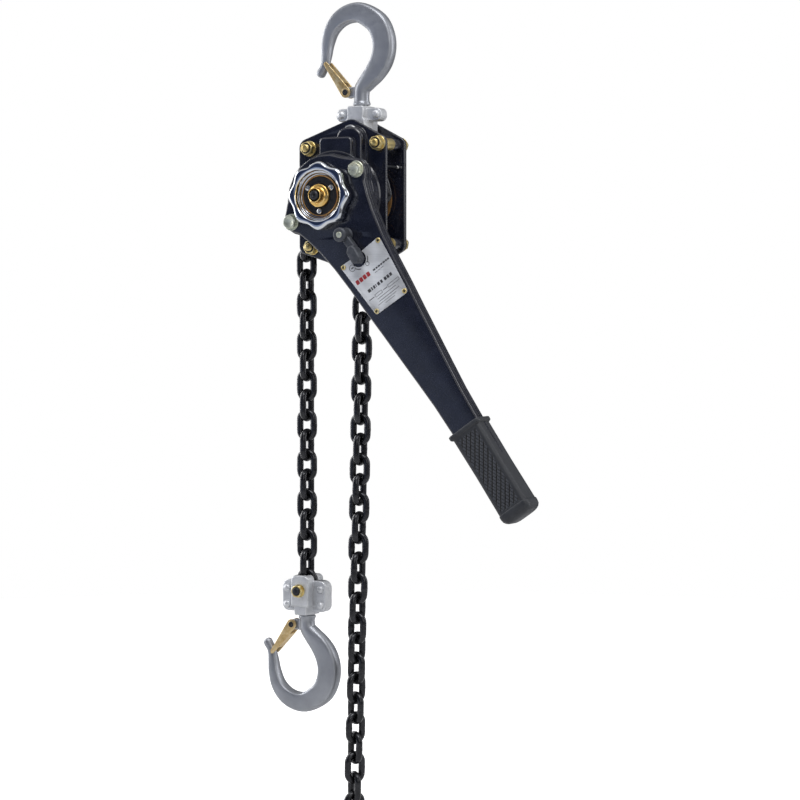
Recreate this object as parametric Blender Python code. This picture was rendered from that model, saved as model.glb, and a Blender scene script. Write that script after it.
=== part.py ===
"""Manual lever chain hoist, 1.5 t class, with a 7.1 x 21 mm load chain.

Lengths are millimetres and become metres when a mesh is made. The hub frame has its origin on the
drive shaft's axis, half way between the two side plates: +X to the right seen from the handwheel,
+Y away from the handwheel, +Z up. "Front" is the handwheel side, -Y. The empty "hoist" carries that
frame, and puts the file's origin on the seat of the top hook, where the hoist hangs.

A centre or a pivot is an (x, z) pair, and every pivot lies in the middle plane, y = 0.
"""

import bpy
import bmesh
from math import acos, atan2, cos, pi, radians, sin, tan
from mathutils import Vector
from mathutils.geometry import tessellate_polygon

# ---------------------------------------------------------------- driving dimensions (mm)
MM = 0.001
GAP = 0.3                      # working clearance between neighbours
SHARP_ANGLE = 32               # edges sharper than this stay sharp, degrees

PLATE_IN = 18.0                # inner face of a side plate, from the middle
PLATE_OUT = PLATE_IN + 4.0     # outer face
INSIDE = PLATE_IN - GAP        # end of a part held between the plates
OUTSIDE = PLATE_OUT + GAP      # seat of a part on a plate's outer face

BOLTS = {                      # stay bolts (x, z)
    "upper_left": (-38.0, 51.0),
    "upper_right": (43.0, 54.5),
    "lower_left": (-34.5, -51.0),
    "lower_right": (43.5, -47.5),
}
GUIDE_BOLT = "lower_left"      # the bolt that carries the load guide roller
BOLT_R = 4.0
BOLT_HOLE_R = 4.3
YOKE_PIN = (11.0, 66.0)        # pin that holds the top yoke
SLACK_ROLLER = (32.5, -55.0)

PITCH = 21.0                   # chain pitch, inside length of a link
LOAD_X = -55.0                 # loaded strand
LOAD_TOP = -68.8               # height of its first hanging link
SHEAVE_R = 34.0                # chain centre line on the load sheave
WRAP_START = 160.0             # angle of the first link that lies on the sheave, degrees

GEAR_DISTANCE = 34.2           # centre distance of both gear pairs
PINION_TEETH = 9
REDUCTION_TEETH = 27
LOAD_GEAR_TEETH = 30
FIRST_MODULE = 2 * GEAR_DISTANCE / (PINION_TEETH + REDUCTION_TEETH)
SECOND_MODULE = 2 * GEAR_DISTANCE / (PINION_TEETH + LOAD_GEAR_TEETH)

LEVER_ANGLE = radians(34.7)    # lever from straight down, towards +X
LEVER_FRONT = -60.5            # lever faces and the seam between its shells, y
LEVER_REAR = -43.4
LEVER_SEAM = -52.0

TOP_YOKE_END = 94.4            # yoke faces that the hooks bear on, z
BOTTOM_YOKE_END = -436.4
CHAIN_PIN = (LOAD_X, -410.3)
HOOK_OFFSET = 6.5              # bowl centre to shank axis
TOP_BOWL = (YOKE_PIN[0] - HOOK_OFFSET, 156.6)
BOTTOM_BOWL = (LOAD_X - HOOK_OFFSET, -495.5)
HOOK_SEAT = 23.0               # bowl centre to hook seat

for old in list(bpy.data.objects):
    bpy.data.objects.remove(old, do_unlink=True)

hoist = bpy.data.objects.new("hoist", None)
hoist.empty_display_size = 0.05
hoist.location = Vector((-TOP_BOWL[0], 0.0, -(TOP_BOWL[1] + HOOK_SEAT))) * MM
bpy.context.scene.collection.objects.link(hoist)


# ---------------------------------------------------------------- materials
def material(name, colour, rough, metal):
    made = bpy.data.materials.new(name)
    made.use_nodes = True
    shader = made.node_tree.nodes["Principled BSDF"]
    shader.inputs["Base Color"].default_value = (*colour, 1.0)
    shader.inputs["Roughness"].default_value = rough
    shader.inputs["Metallic"].default_value = metal
    made.diffuse_color = (*colour, 1.0)
    return made


PAINT = material("black_paint", colour=(0.012, 0.014, 0.022), rough=0.28, metal=0.0)
CHAIN = material("blackened_chain_steel", colour=(0.020, 0.021, 0.024), rough=0.33, metal=0.7)
CHROME = material("polished_chrome", colour=(0.78, 0.79, 0.80), rough=0.08, metal=1.0)
CAST = material("bright_cast_steel", colour=(0.62, 0.64, 0.64), rough=0.32, metal=1.0)
FORGED = material("satin_forged_hook", colour=(0.44, 0.45, 0.45), rough=0.36, metal=1.0)
ZINC = material("yellow_zinc", colour=(0.70, 0.56, 0.24), rough=0.30, metal=1.0)
PALE_ZINC = material("pale_zinc", colour=(0.58, 0.62, 0.50), rough=0.30, metal=1.0)
SPRING = material("brass_spring_steel", colour=(0.72, 0.50, 0.14), rough=0.28, metal=1.0)
STEEL = material("machined_steel", colour=(0.46, 0.46, 0.47), rough=0.34, metal=1.0)
OXIDE = material("dark_oxide_steel", colour=(0.06, 0.06, 0.065), rough=0.40, metal=0.8)
FRICTION = material("friction_lining", colour=(0.16, 0.10, 0.07), rough=0.80, metal=0.0)
RUBBER = material("charcoal_rubber", colour=(0.045, 0.047, 0.052), rough=0.72, metal=0.0)
BRUSHED = material("brushed_aluminium", colour=(0.66, 0.66, 0.66), rough=0.38, metal=1.0)
BRONZE = material("bronze_bush", colour=(0.55, 0.33, 0.14), rough=0.36, metal=1.0)


# ---------------------------------------------------------------- outlines, as lists of (x, z)
def polar(radius, degrees, centre=(0.0, 0.0)):
    return (centre[0] + radius * cos(radians(degrees)), centre[1] + radius * sin(radians(degrees)))


def circle(radius, sides=12, centre=(0.0, 0.0), start=0.0):
    return [(centre[0] + radius * cos(start + 2 * pi * k / sides),
             centre[1] + radius * sin(start + 2 * pi * k / sides)) for k in range(sides)]


def hexagon(radius, centre, start=0.0):
    """A hexagon of twelve points, so that it joins to circles of twelve."""
    out = []
    for k in range(6):
        a, b = start + pi * k / 3, start + pi * (k + 1) / 3
        out.append((centre[0] + radius * cos(a), centre[1] + radius * sin(a)))
        out.append((centre[0] + radius * (cos(a) + cos(b)) / 2,
                    centre[1] + radius * (sin(a) + sin(b)) / 2))
    return out


def fillet(corners, steps=3):
    """Rounds a polygon. Each corner is (x, z, radius)."""
    out = []
    for i, (x, z, radius) in enumerate(corners):
        if radius <= 0:
            out.append((x, z))
            continue
        corner = Vector((x, z))
        back = (Vector(corners[i - 1][:2]) - corner).normalized()
        ahead = (Vector(corners[(i + 1) % len(corners)][:2]) - corner).normalized()
        half = acos(max(-1.0, min(1.0, back.dot(ahead)))) / 2
        reach = radius / tan(half)
        centre = corner + (back + ahead).normalized() * (radius / sin(half))
        first = corner + back * reach - centre
        last = corner + ahead * reach - centre
        start = atan2(first.y, first.x)
        turn = (atan2(last.y, last.x) - start + pi) % (2 * pi) - pi
        out += [(centre.x + radius * cos(start + turn * k / steps),
                 centre.y + radius * sin(start + turn * k / steps)) for k in range(steps + 1)]
    return out


def offset(loop, distance):
    """The loop moved inwards, point by point."""
    area = sum(a[0] * b[1] - b[0] * a[1] for a, b in zip(loop, loop[1:] + loop[:1]))
    side = 1.0 if area > 0 else -1.0
    out = []
    for i in range(len(loop)):
        before, point, after = (Vector(loop[j % len(loop)]) for j in (i - 1, i, i + 1))
        edge0, edge1 = point - before, after - point
        normal0 = Vector((-edge0.y, edge0.x)).normalized() * side
        normal1 = Vector((-edge1.y, edge1.x)).normalized() * side
        mitre = (normal0 + normal1).normalized()
        out.append(tuple(point + mitre * (distance / max(0.4, mitre.dot(normal0)))))
    return out


def toothed(teeth, phase, tooth, centre=(0.0, 0.0)):
    """A toothed wheel. The tooth is a list of (radius, angle as a share of one tooth's pitch)."""
    step = 2 * pi / teeth
    return [(centre[0] + r * cos(phase + step * (k + share)),
             centre[1] + r * sin(phase + step * (k + share)))
            for k in range(teeth) for r, share in tooth]


def quadrants(quarter):
    """A closed section from its first quarter, mirrored about both axes."""
    return (quarter + [(-x, y) for x, y in reversed(quarter)] + [(-x, -y) for x, y in quarter]
            + [(x, -y) for x, y in reversed(quarter)])


# ---------------------------------------------------------------- solids, as (points, faces)
def prism(outer, y0, y1, holes=()):
    """A plate in the XZ plane between y0 and y1, with through holes."""
    loops = [list(outer)] + [list(hole) for hole in holes]
    flat = [p for loop in loops for p in loop]
    n = len(flat)
    points = [(x, y0, z) for x, z in flat] + [(x, y1, z) for x, z in flat]
    faces = []
    for tri in tessellate_polygon([[Vector((x, z, 0.0)) for x, z in loop] for loop in loops]):
        faces += [tuple(tri), tuple(n + i for i in reversed(tri))]
    at = 0
    for loop in loops:
        m = len(loop)
        faces += [(at + k, at + (k + 1) % m, n + at + (k + 1) % m, n + at + k) for k in range(m)]
        at += m
    return points, faces


def loft(rings, closed=False):
    """Joins rings of equal length. A closed loft joins its last ring to its first."""
    n = len(rings[0])
    points = [p for ring in rings for p in ring]
    faces = []
    count = len(rings)
    for i in range(count if closed else count - 1):
        a, b = i * n, ((i + 1) % count) * n
        faces += [(a + k, a + (k + 1) % n, b + (k + 1) % n, b + k) for k in range(n)]
    if not closed:
        faces += [tuple(range(n - 1, -1, -1)), tuple((count - 1) * n + k for k in range(n))]
    return points, faces


def stack(levels, closed=False):
    """A loft along Y. Each level is (y, outline)."""
    return loft([[(x, y, z) for x, z in outline] for y, outline in levels], closed)


def turned(profile, sides=12, centre=(0.0, 0.0), closed=False):
    """A turned piece about an axis along Y. The profile is (radius, y)."""
    return stack([(y, circle(r, sides, centre)) for r, y in profile], closed)


def turned_z(profile, x_axis):
    """A turned piece of twelve sides about an axis along Z. The profile is (radius, z)."""
    return loft([[(x_axis + x, y, z) for x, y in circle(r, start=pi / 12)] for r, z in profile])


def fastener(levels, centre, start=0.0, closed=False):
    """A bolt or nut. Each level is (y, radius, "round" or "hex")."""
    return stack([(y, hexagon(r, centre, start) if form == "hex" else circle(r, 12, centre, start))
                  for y, r, form in levels], closed)


def box(x0, x1, y0, y1, z0, z1, low=0.0, high=0.0, steps=2):
    """A box. low and high are the radii of its lower and upper corners, seen along Y."""
    corners = [(x0, z0, low), (x1, z0, low), (x1, z1, high), (x0, z1, high)]
    return prism(fillet(corners, steps), y0, y1)


def group(*shapes):
    points, faces = [], []
    for shape_points, shape_faces in shapes:
        k = len(points)
        points += list(shape_points)
        faces += [tuple(k + i for i in face) for face in shape_faces]
    return points, faces


# ---------------------------------------------------------------- objects
def add_object(name, mesh_name, shape, pivot):
    mesh = bpy.data.meshes.new(mesh_name)
    bm = bmesh.new()
    made = [bm.verts.new(((x - pivot[0]) * MM, y * MM, (z - pivot[1]) * MM))
            for x, y, z in shape[0]]
    for face in shape[1]:
        bm.faces.new([made[i] for i in face])
    bmesh.ops.recalc_face_normals(bm, faces=bm.faces)
    bm.to_mesh(mesh)
    bm.free()
    obj = bpy.data.objects.new(name, mesh)
    obj.parent = hoist
    obj.location = Vector((pivot[0], 0.0, pivot[1])) * MM
    bpy.context.scene.collection.objects.link(obj)
    return obj


def make(name, shape, mat, pivot=(0.0, 0.0), join=(), cut=()):
    """One named piece. Shapes in join are welded to it, then shapes in cut are taken out of it."""
    obj = add_object(name, name, shape, pivot)
    obj.data.materials.append(mat)
    for operation, tools in (("UNION", join), ("DIFFERENCE", cut)):
        for k, tool in enumerate(tools):
            label = f"{operation.lower()}_{k}"
            helper = add_object(f"{name}_{label}", name + "_tool", tool, pivot)
            helper.hide_render = True
            helper.display_type = "WIRE"
            modifier = obj.modifiers.new(label, "BOOLEAN")
            modifier.operation = operation
            modifier.object = helper
            modifier.solver = "EXACT"
    obj.data.shade_smooth()
    obj.data.set_sharp_from_angle(angle=radians(SHARP_ANGLE))


# ---------------------------------------------------------------- side plates
# One outline (x, z, corner radius) for both: a rounded box with a shallow gable above and below.
OUTLINE = fillet([(-51.5, -56.0, 9), (11.0, -76.0, 16), (51.5, -54.0, 9), (51.5, 60.0, 8),
                  (11.0, 81.0, 13), (-51.5, 58.5, 9)])
BOLT_HOLES = [circle(BOLT_HOLE_R, centre=bolt) for bolt in BOLTS.values()]
PLATE_HOLES = BOLT_HOLES + [circle(16.3, 24), circle(5.3, 12, YOKE_PIN),
                            circle(3.3, 8, SLACK_ROLLER)]
PAWL_R = 35.5                                   # hub axis to a brake pawl's pivot
PAWL_ANGLES = {"upper": 110, "lower": 290}      # degrees

# The front plate carries the two pawl pins.
make("front_side_plate", prism(OUTLINE, -PLATE_OUT, -PLATE_IN, PLATE_HOLES), PAINT,
     join=[group(*[turned([(2.9, -36.5), (2.9, -19.0)], 10, polar(PAWL_R, angle))
                   for angle in PAWL_ANGLES.values()])])
# The rear plate has holes for the two reduction gear shafts.
make("rear_side_plate",
     prism(OUTLINE, PLATE_IN, PLATE_OUT,
           PLATE_HOLES + [circle(4.4, centre=(0, z)) for z in (GEAR_DISTANCE, -GEAR_DISTANCE)]),
     PAINT)

# ---------------------------------------------------------------- stay bolts, pins and rollers
# The head is behind the gear cover and the nut in front. A shoulder spaces the plates, except on
# the bolt that carries a roller.
BOLT_FRONT = [(-34.0, 3.2, "round"), (-33.2, BOLT_R, "round")]
BOLT_SHOULDER = [(-INSIDE, BOLT_R, "round"), (-INSIDE, 6.0, "round"),
                 (INSIDE, 6.0, "round"), (INSIDE, BOLT_R, "round")]
BOLT_HEAD = [(24.6, BOLT_R, "round"), (24.6, 7.4, "hex"), (29.6, 7.4, "hex"), (30.2, 6.6, "hex")]
FRONT_NUT = [(-OUTSIDE, 7.0, "round"), (-24.2, 7.0, "round"), (-24.2, 7.3, "hex"),
             (-30.2, 7.3, "hex"), (-30.9, 6.4, "hex"), (-30.9, BOLT_HOLE_R, "round"),
             (-OUTSIDE, BOLT_HOLE_R, "round")]

for name, centre in BOLTS.items():
    shoulder = [] if name == GUIDE_BOLT else BOLT_SHOULDER
    make(f"stay_bolt_{name}", fastener(BOLT_FRONT + shoulder + BOLT_HEAD, centre), ZINC)
    make(f"front_nut_{name}", fastener(FRONT_NUT, centre, closed=True), ZINC)

ROLLER_END = 17.5
make("top_hook_pin",
     turned([(7.4, -26.4), (8.0, -25.8), (8.0, -OUTSIDE), (5.0, -OUTSIDE), (5.0, 21.4),
             (4.4, 21.9)], 12, YOKE_PIN), STEEL)
make("load_guide_roller",
     turned([(5.6, -ROLLER_END), (5.6, ROLLER_END), (4.35, ROLLER_END), (4.35, -ROLLER_END)],
            12, BOLTS[GUIDE_BOLT], closed=True), STEEL, pivot=BOLTS[GUIDE_BOLT])
make("slack_guide_roller",
     turned([(3.0, -21.6), (3.0, -ROLLER_END), (4.6, -ROLLER_END), (4.6, ROLLER_END),
             (3.0, ROLLER_END), (3.0, 21.6)], 12, SLACK_ROLLER), STEEL, pivot=SLACK_ROLLER)
# A block below the sheave, with a narrow tongue up into the sheave's middle groove.
make("chain_stripper", box(-22, -3, -17.6, 17.6, -56, -43.2, low=3, high=3), STEEL,
     join=[box(-15.5, -6.5, -3.4, 3.4, -46, -25.5, low=2, high=2)])

# ---------------------------------------------------------------- covers
# Brake cover: a round dish on the front plate, with a raised box for the upper pawl and a
# round-topped box over the yoke pin.
make("brake_cover",
     turned([(45.5, -OUTSIDE), (44.0, -24.5), (43.5, -38.0), (47.0, -38.6), (47.0, -41.2),
             (45.5, -42.0), (30.0, -42.0)], 28),
     PAINT,
     join=[box(-17.6, 21, -40.0, -OUTSIDE, 10, 61, high=5, steps=3),
           box(-3, 28, -31.0, -OUTSIDE, 20, 71.5, high=11, steps=4)],
     cut=[turned([(41.5, -20.0), (41.5, -39.2)], 28),
          box(-15.6, 19, -38.0, -20.0, 12, 59, high=4),
          turned([(24.8, -36.0), (24.8, -45.0)], 20),
          turned([(9.0, -28.5), (9.0, -20.0)], 12, YOKE_PIN)])

# Gear cover: a pressed lid over the reduction gears, with a flat flange under the bolt heads.
# The lid's outline is two half circles round the reduction gear shafts.
LID = [polar(30.0, angle, (0.0, GEAR_DISTANCE * side))
       for side, start in ((1, 0), (-1, 180)) for angle in range(start, start + 181, 20)]
make("gear_cover", prism(offset(OUTLINE, 0.8), OUTSIDE, 24.3, BOLT_HOLES), PAINT,
     join=[stack([(23.4, LID), (39.4, offset(LID, 0.6)), (42.4, offset(LID, 2.2)),
                  (44.0, offset(LID, 6.0))])],
     cut=[stack([(20.0, offset(LID, 1.6)), (39.0, offset(LID, 2.0)), (41.9, offset(LID, 3.6))])])

# Flanged bushes that carry the load sheave in the plates.
for name, side in (("front_sheave_bearing", -1), ("rear_sheave_bearing", 1)):
    profile = [(16.0, PLATE_OUT), (16.0, INSIDE), (18.5, INSIDE), (18.5, 15.6), (11.3, 15.6),
               (11.3, PLATE_OUT)]
    make(name, turned([(r, side * y) for r, y in profile], 20, closed=True), BRONZE)

# ---------------------------------------------------------------- gears and drive shaft
FIRST_PAIR_Y = (33.2, 38.2)
SECOND_PAIR_Y = (24.2, 31.0)
UP, DOWN = radians(90), radians(270)


def gear(teeth, module, phase, centre=(0.0, 0.0)):
    """Stub gear teeth with ample backlash. One tooth is centred on the angle phase."""
    pitch_r = teeth * module / 2
    tip, root = pitch_r + 0.72 * module, pitch_r - 1.12 * module
    return toothed(teeth, phase, [(root, -0.272), (tip, -0.102), (tip, 0.102), (root, 0.272)],
                   centre)


make("pinion_shaft",
     turned([(3.0, -81.0), (4.2, -81.6), (4.7, -81.0), (4.7, -62.0), (6.6, -62.0), (6.6, 33.0),
             (5.0, 33.0), (5.0, 41.4)], 16), STEEL,
     join=[prism(gear(PINION_TEETH, FIRST_MODULE, UP), *FIRST_PAIR_Y)])
make("load_gear",
     prism(gear(LOAD_GEAR_TEETH, SECOND_MODULE, UP), *SECOND_PAIR_Y, [circle(9.3, 20)]), STEEL)
for name, z, small_phase in (("upper_reduction_gear", GEAR_DISTANCE, UP),
                             ("lower_reduction_gear", -GEAR_DISTANCE, DOWN)):
    make(name,
         turned([(4.0, 18.4), (4.0, 24.0), (5.2, 24.0), (5.2, 38.6), (4.0, 38.6), (4.0, 41.4)],
                12, (0, z)), STEEL, pivot=(0, z),
         join=[prism(gear(REDUCTION_TEETH, FIRST_MODULE, UP, (0, z)), *FIRST_PAIR_Y),
               prism(gear(PINION_TEETH, SECOND_MODULE, small_phase, (0, z)),
                     SECOND_PAIR_Y[0], 34.0)])

# ---------------------------------------------------------------- load sheave
# Two rims with five lugs on the seat of each, and a deep groove between the seats.
# Columns: y, radius at a lug, radius elsewhere.
SHEAVE = [(-22.6, 11.0, 11.0), (-14.8, 11.0, 11.0), (-14.8, 39.0, 39.0), (-12.9, 39.0, 39.0),
          (-12.9, 36.0, 28.0), (-4.8, 36.0, 28.0), (-4.8, 20.5, 20.5), (4.8, 20.5, 20.5),
          (4.8, 36.0, 28.0), (12.9, 36.0, 28.0), (12.9, 39.0, 39.0), (14.8, 39.0, 39.0),
          (14.8, 11.0, 11.0), (23.4, 11.0, 11.0), (23.4, 9.0, 9.0), (31.6, 9.0, 9.0),
          (31.6, 7.0, 7.0), (-22.6, 7.0, 7.0)]


def sheave_ring(lug, seat):
    """Thirty points from WRAP_START, every sixth of them on a lug."""
    lug_ring, seat_ring = (circle(r, 30, start=radians(WRAP_START)) for r in (lug, seat))
    return [lug_ring[k] if k % 6 == 0 else seat_ring[k] for k in range(30)]


make("load_sheave", stack([(y, sheave_ring(lug, seat)) for y, lug, seat in SHEAVE], closed=True),
     BRONZE)

# ---------------------------------------------------------------- brake
RATCHET_Y = (-34.6, -29.6)
RATCHET_TEETH = 16
RATCHET_TIP, RATCHET_ROOT = 27.0, 23.0
RATCHET_TOOTH = [(RATCHET_TIP, 0.0), (RATCHET_TIP, 0.16), (RATCHET_ROOT, 0.24),
                 (RATCHET_ROOT, 0.58)]

make("brake_hub",
     turned([(24.0, -24.0), (24.0, -27.0), (11.9, -27.0), (11.9, -36.8), (7.0, -36.8),
             (7.0, -24.0)], 24, closed=True), STEEL)
for name, y in (("inner_friction_disc", -27.3), ("outer_friction_disc", -34.9)):
    make(name, turned([(21.5, y), (21.5, y - 2.0), (12.3, y - 2.0), (12.3, y)], 24, closed=True),
         FRICTION)
make("ratchet_wheel",
     prism(toothed(RATCHET_TEETH, radians(75) - 2 * pi / RATCHET_TEETH * 0.41, RATCHET_TOOTH),
           *RATCHET_Y, [circle(12.3, 16)]), STEEL)


def pawl_outline(turn):
    """The pawl lies along the ratchet's rim, clear of the teeth at rest. turn is in radians."""
    points = [polar(4.6, a, (PAWL_R, 0.0)) for a in (-60, -25, 10, 45, 80, 120, 160, 200)]
    points += [polar(27.9, -31.0), polar(27.9, -38.5), polar(31.6, -39.5)]
    return [(x * cos(turn) - z * sin(turn), x * sin(turn) + z * cos(turn)) for x, z in points]


for name, angle in PAWL_ANGLES.items():
    pivot = polar(PAWL_R, angle)
    make(f"{name}_brake_pawl",
         prism(pawl_outline(radians(angle)), *RATCHET_Y, [circle(3.25, 10, pivot)]), STEEL,
         pivot=pivot)

# Change gear: a stepped hub with a toothed ring, one tooth pointing along the lever.
make("change_gear",
     turned([(22.0, -37.2), (22.0, -40.0), (15.0, -40.0), (15.0, -46.5), (9.0, -54.0),
             (9.0, -57.0), (7.0, -57.0), (7.0, -37.2)], 24, closed=True), STEEL,
     join=[prism(toothed(16, atan2(-cos(LEVER_ANGLE), sin(LEVER_ANGLE)),
                         [(18.0, -0.24), (22.0, -0.13), (22.0, 0.13), (18.0, 0.24)]),
                 -54.5, -46.2, [circle(8.0, 16)])])

# ---------------------------------------------------------------- handwheel
# Columns: y, largest radius, half the depth of the hollows between the lobes (0 = round).
HANDWHEEL = [(-61.2, 12.0, 0), (-61.2, 28.0, 0), (-62.4, 33.2, 1.4), (-65.0, 34.9, 1.6),
             (-70.8, 34.9, 1.6), (-73.0, 33.6, 1.5), (-74.4, 31.0, 0.8), (-74.4, 27.4, 0),
             (-73.4, 25.4, 0), (-67.4, 24.4, 0), (-65.6, 21.0, 0), (-65.2, 6.9, 0),
             (-57.3, 6.9, 0), (-57.3, 9.5, 0), (-61.2, 9.5, 0)]


def lobed(radius, depth, sides=32):
    """A circle with eight lobes."""
    out = []
    for k in range(sides):
        angle = 2 * pi * k / sides
        r = radius - depth + depth * cos(8 * angle)
        out.append((r * cos(angle), r * sin(angle)))
    return out


make("handwheel", stack([(y, lobed(r, depth)) for y, r, depth in HANDWHEEL], closed=True), CHROME)
make("handwheel_stop_plate",
     prism(fillet([(*polar(31, a), 10.5) for a in (30, 150, 270)], 4), -68.2, -66.6,
           [circle(7.6)]), OXIDE)
make("free_wheel_spring",
     turned([(12.0, -68.5), (12.0, -70.6), (10.2, -71.4), (10.2, -73.6), (8.8, -74.4),
             (8.8, -77.0), (7.3, -77.6), (7.3, -80.6), (5.1, -80.6), (5.1, -68.5)],
            12, closed=True), SPRING)


# ---------------------------------------------------------------- lever
def lever_point(u, v):
    """Lever frame to the XZ plane: u along the lever from the hub, v across it, up and to +X."""
    return (u * sin(LEVER_ANGLE) + v * cos(LEVER_ANGLE),
            -u * cos(LEVER_ANGLE) + v * sin(LEVER_ANGLE))


def lever_loop(points):
    return [lever_point(u, v) for u, v in points]


# The +v edge (u, v) from the back of the hub to the tail. The other edge is its mirror image.
EDGE = [(-41.0, 8.0), (-37.8, 18.0), (-31.0, 29.0), (-20.5, 38.5), (-11.5, 48.0), (-6.5, 53.4),
        (1.0, 55.0), (8.0, 52.0), (15.0, 46.0), (28.0, 41.5), (45.0, 37.0), (68.0, 33.0),
        (95.0, 30.0), (125.0, 27.8), (155.0, 25.0), (186.0, 22.4), (216.0, 19.8), (246.0, 17.4),
        (281.0, 16.2), (330.0, 15.8), (366.0, 15.4), (371.0, 11.0)]
LEVER_WALL = 2.0
LEVER = lever_loop(EDGE + [(u, -v) for u, v in reversed(EDGE)])
LEVER_INNER = offset(LEVER, LEVER_WALL)
LEVER_BOLTS = {"right": lever_point(0.0, 46.0), "left": lever_point(0.0, -46.0)}
SELECTOR_UV = (48.0, -1.0)
SELECTOR = lever_point(*SELECTOR_UV)
lever_holes = [circle(BOLT_HOLE_R, centre=bolt) for bolt in LEVER_BOLTS.values()]

make("lever_front_shell",
     prism(LEVER, LEVER_FRONT, LEVER_SEAM - GAP / 2,
           lever_holes + [circle(12.5, 20), circle(3.4, 10, SELECTOR)]), PAINT,
     cut=[prism(LEVER_INNER, LEVER_FRONT + LEVER_WALL, LEVER_SEAM + 2.0)])
make("lever_rear_shell",
     prism(LEVER, LEVER_SEAM + GAP / 2, LEVER_REAR, lever_holes + [circle(15.5, 20)]), PAINT,
     cut=[prism(LEVER_INNER, LEVER_SEAM - 2.0, LEVER_REAR - LEVER_WALL)])

LEVER_BOLT = [(-66.6, 6.4, "hex"), (-65.8, 7.3, "hex"), (-61.9, 7.3, "hex"),
              (-61.9, 8.2, "round"), (-60.8, 8.2, "round"), (-60.8, BOLT_R, "round"),
              (-43.7, BOLT_R, "round")]
for name, centre in LEVER_BOLTS.items():
    make(f"lever_bolt_{name}", fastener(LEVER_BOLT, centre, start=0.3), PALE_ZINC)

# Grip sections. Columns: u, half width, half depth, corner cut.
GRIP = [(281.0, 19.6, 15.4, 5), (286.0, 19.6, 15.4, 5), (287.0, 17.2, 14.2, 5),
        (330.0, 16.8, 14.0, 5), (371.0, 17.2, 14.6, 5), (376.0, 18.6, 15.8, 6),
        (382.0, 18.0, 15.2, 7), (387.0, 12.5, 10.0, 6)]


def grip_ring(u, width, depth, cut):
    """A rounded rectangle across the lever."""
    quarter = [(width, depth - cut), (width - 0.3 * cut, depth - 0.3 * cut), (width - cut, depth)]
    out = []
    for v, y in quadrants(quarter):
        x, z = lever_point(u, v)
        out.append((x, LEVER_SEAM + y, z))
    return out


make("lever_grip", loft([grip_ring(*station) for station in GRIP]), RUBBER,
     cut=[prism(lever_loop([(270.0, -16.6), (372.0, -16.6), (372.0, 16.6), (270.0, 16.6)]),
                LEVER_FRONT - 0.4, LEVER_REAR + 0.4)])

# Data plate outline and rivets (u, v). Its hub end has a round bulge.
DATA_PLATE = [(134.5, -16.0), (131.5, -18.8), (100.0, -22.0), (72.5, -25.4), (70.2, -23.0),
              (70.3, -10.6)]
DATA_PLATE += [polar(8.4, a, (76.0, -3.0)) for a in (-110, -75, -38, 0, 38, 75, 110)]
DATA_PLATE += [(70.4, 4.6), (70.6, 27.0), (73.0, 29.0), (100.0, 27.2), (132.5, 25.0),
               (135.2, 22.0)]
RIVETS = [(73.2, -22.2), (73.4, 25.8), (131.2, -15.9), (132.3, 21.6)]
make("data_plate", prism(lever_loop(DATA_PLATE), -61.4, LEVER_FRONT - GAP), BRUSHED,
     join=[group(*[turned([(2.6, -61.1), (1.8, -62.4)], 6, lever_point(u, v))
                   for u, v in RIVETS])])

# Selector: a round knob with a thumb arm along the lever. Arm columns: u, v, corner radius.
SELECTOR_ARM = [(44.0, -4.6, 2), (67.6, -5.4, 0), (79.6, -6.0, 3.5), (83.6, -0.8, 0),
                (80.4, 4.8, 3.5), (68.6, 5.6, 0), (44.0, 2.6, 2)]
make("selector_knob",
     turned([(3.0, -55.0), (3.0, -60.9), (7.4, -60.9), (7.2, -75.4), (6.0, -76.6)],
            12, SELECTOR), OXIDE, pivot=SELECTOR,
     join=[prism(lever_loop(fillet(SELECTOR_ARM, 2)), -75.0, -62.5)])


def change_pawl_outline():
    """Double pawl, in the lever frame: two noses, one for each direction of turning."""
    points = []
    for side in (1, -1):
        nose = pi - side * radians(33)
        x, z = 27.6 * cos(nose), 27.6 * sin(nose)
        across = Vector((-sin(nose), cos(nose))) * side
        inner, crotch = nose - side * 1.9, pi - side * 0.12
        arm = [(6.0 * cos(inner), 6.0 * sin(inner)),
               (x - across.x * 1.3, z - across.y * 1.3), (x + across.x * 1.3, z + across.y * 1.3),
               (9.0 * cos(crotch), 9.0 * sin(crotch))]
        points += arm[::side]
    points += [polar(6.0, a) for a in (-45, -15, 15, 45)]
    return [(SELECTOR_UV[0] + u, SELECTOR_UV[1] + v) for u, v in points]


make("change_pawl", prism(lever_loop(change_pawl_outline()), -54.6, -46.6), STEEL, pivot=SELECTOR)

# ---------------------------------------------------------------- hooks
# A hook's own frame: bowl centre at the origin, shank upwards, tip on the left.
LATCH_PIVOT = (-9.5, 47.6)
LATCH_HOLE_R = 2.2

# Centre line. Columns: x, z, width in the plane of the hook, thickness across it,
# roundness (1 = round bar).
HOOK = [(6.5, 50.0, 15.8, 15.8, 1.0), (7.6, 43.0, 17.5, 15.8, 0.7), (14.2, 36.0, 20.0, 16.0, 0.3),
        (22.8, 27.4, 22.4, 16.0, 0.0), (30.2, 16.6, 23.6, 16.0, 0.0), (33.6, 3.6, 24.2, 16.0, 0.0),
        (31.8, -10.2, 24.4, 16.0, 0.0), (24.6, -23.4, 24.2, 16.0, 0.0),
        (7.0, -34.2, 22.4, 15.6, 0.0), (-7.0, -34.2, 22.4, 15.6, 0.0),
        (-20.0, -28.0, 17.6, 15.2, 0.0), (-29.0, -17.0, 14.0, 14.2, 0.1),
        (-33.4, -4.0, 12.0, 12.8, 0.3), (-35.0, 8.0, 10.6, 10.9, 0.5),
        (-36.8, 16.6, 10.0, 9.8, 0.7), (-39.8, 22.6, 10.0, 9.6, 1.0),
        (-42.6, 26.4, 9.4, 9.4, 1.0), (-44.6, 29.0, 5.2, 5.2, 1.0)]


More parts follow.
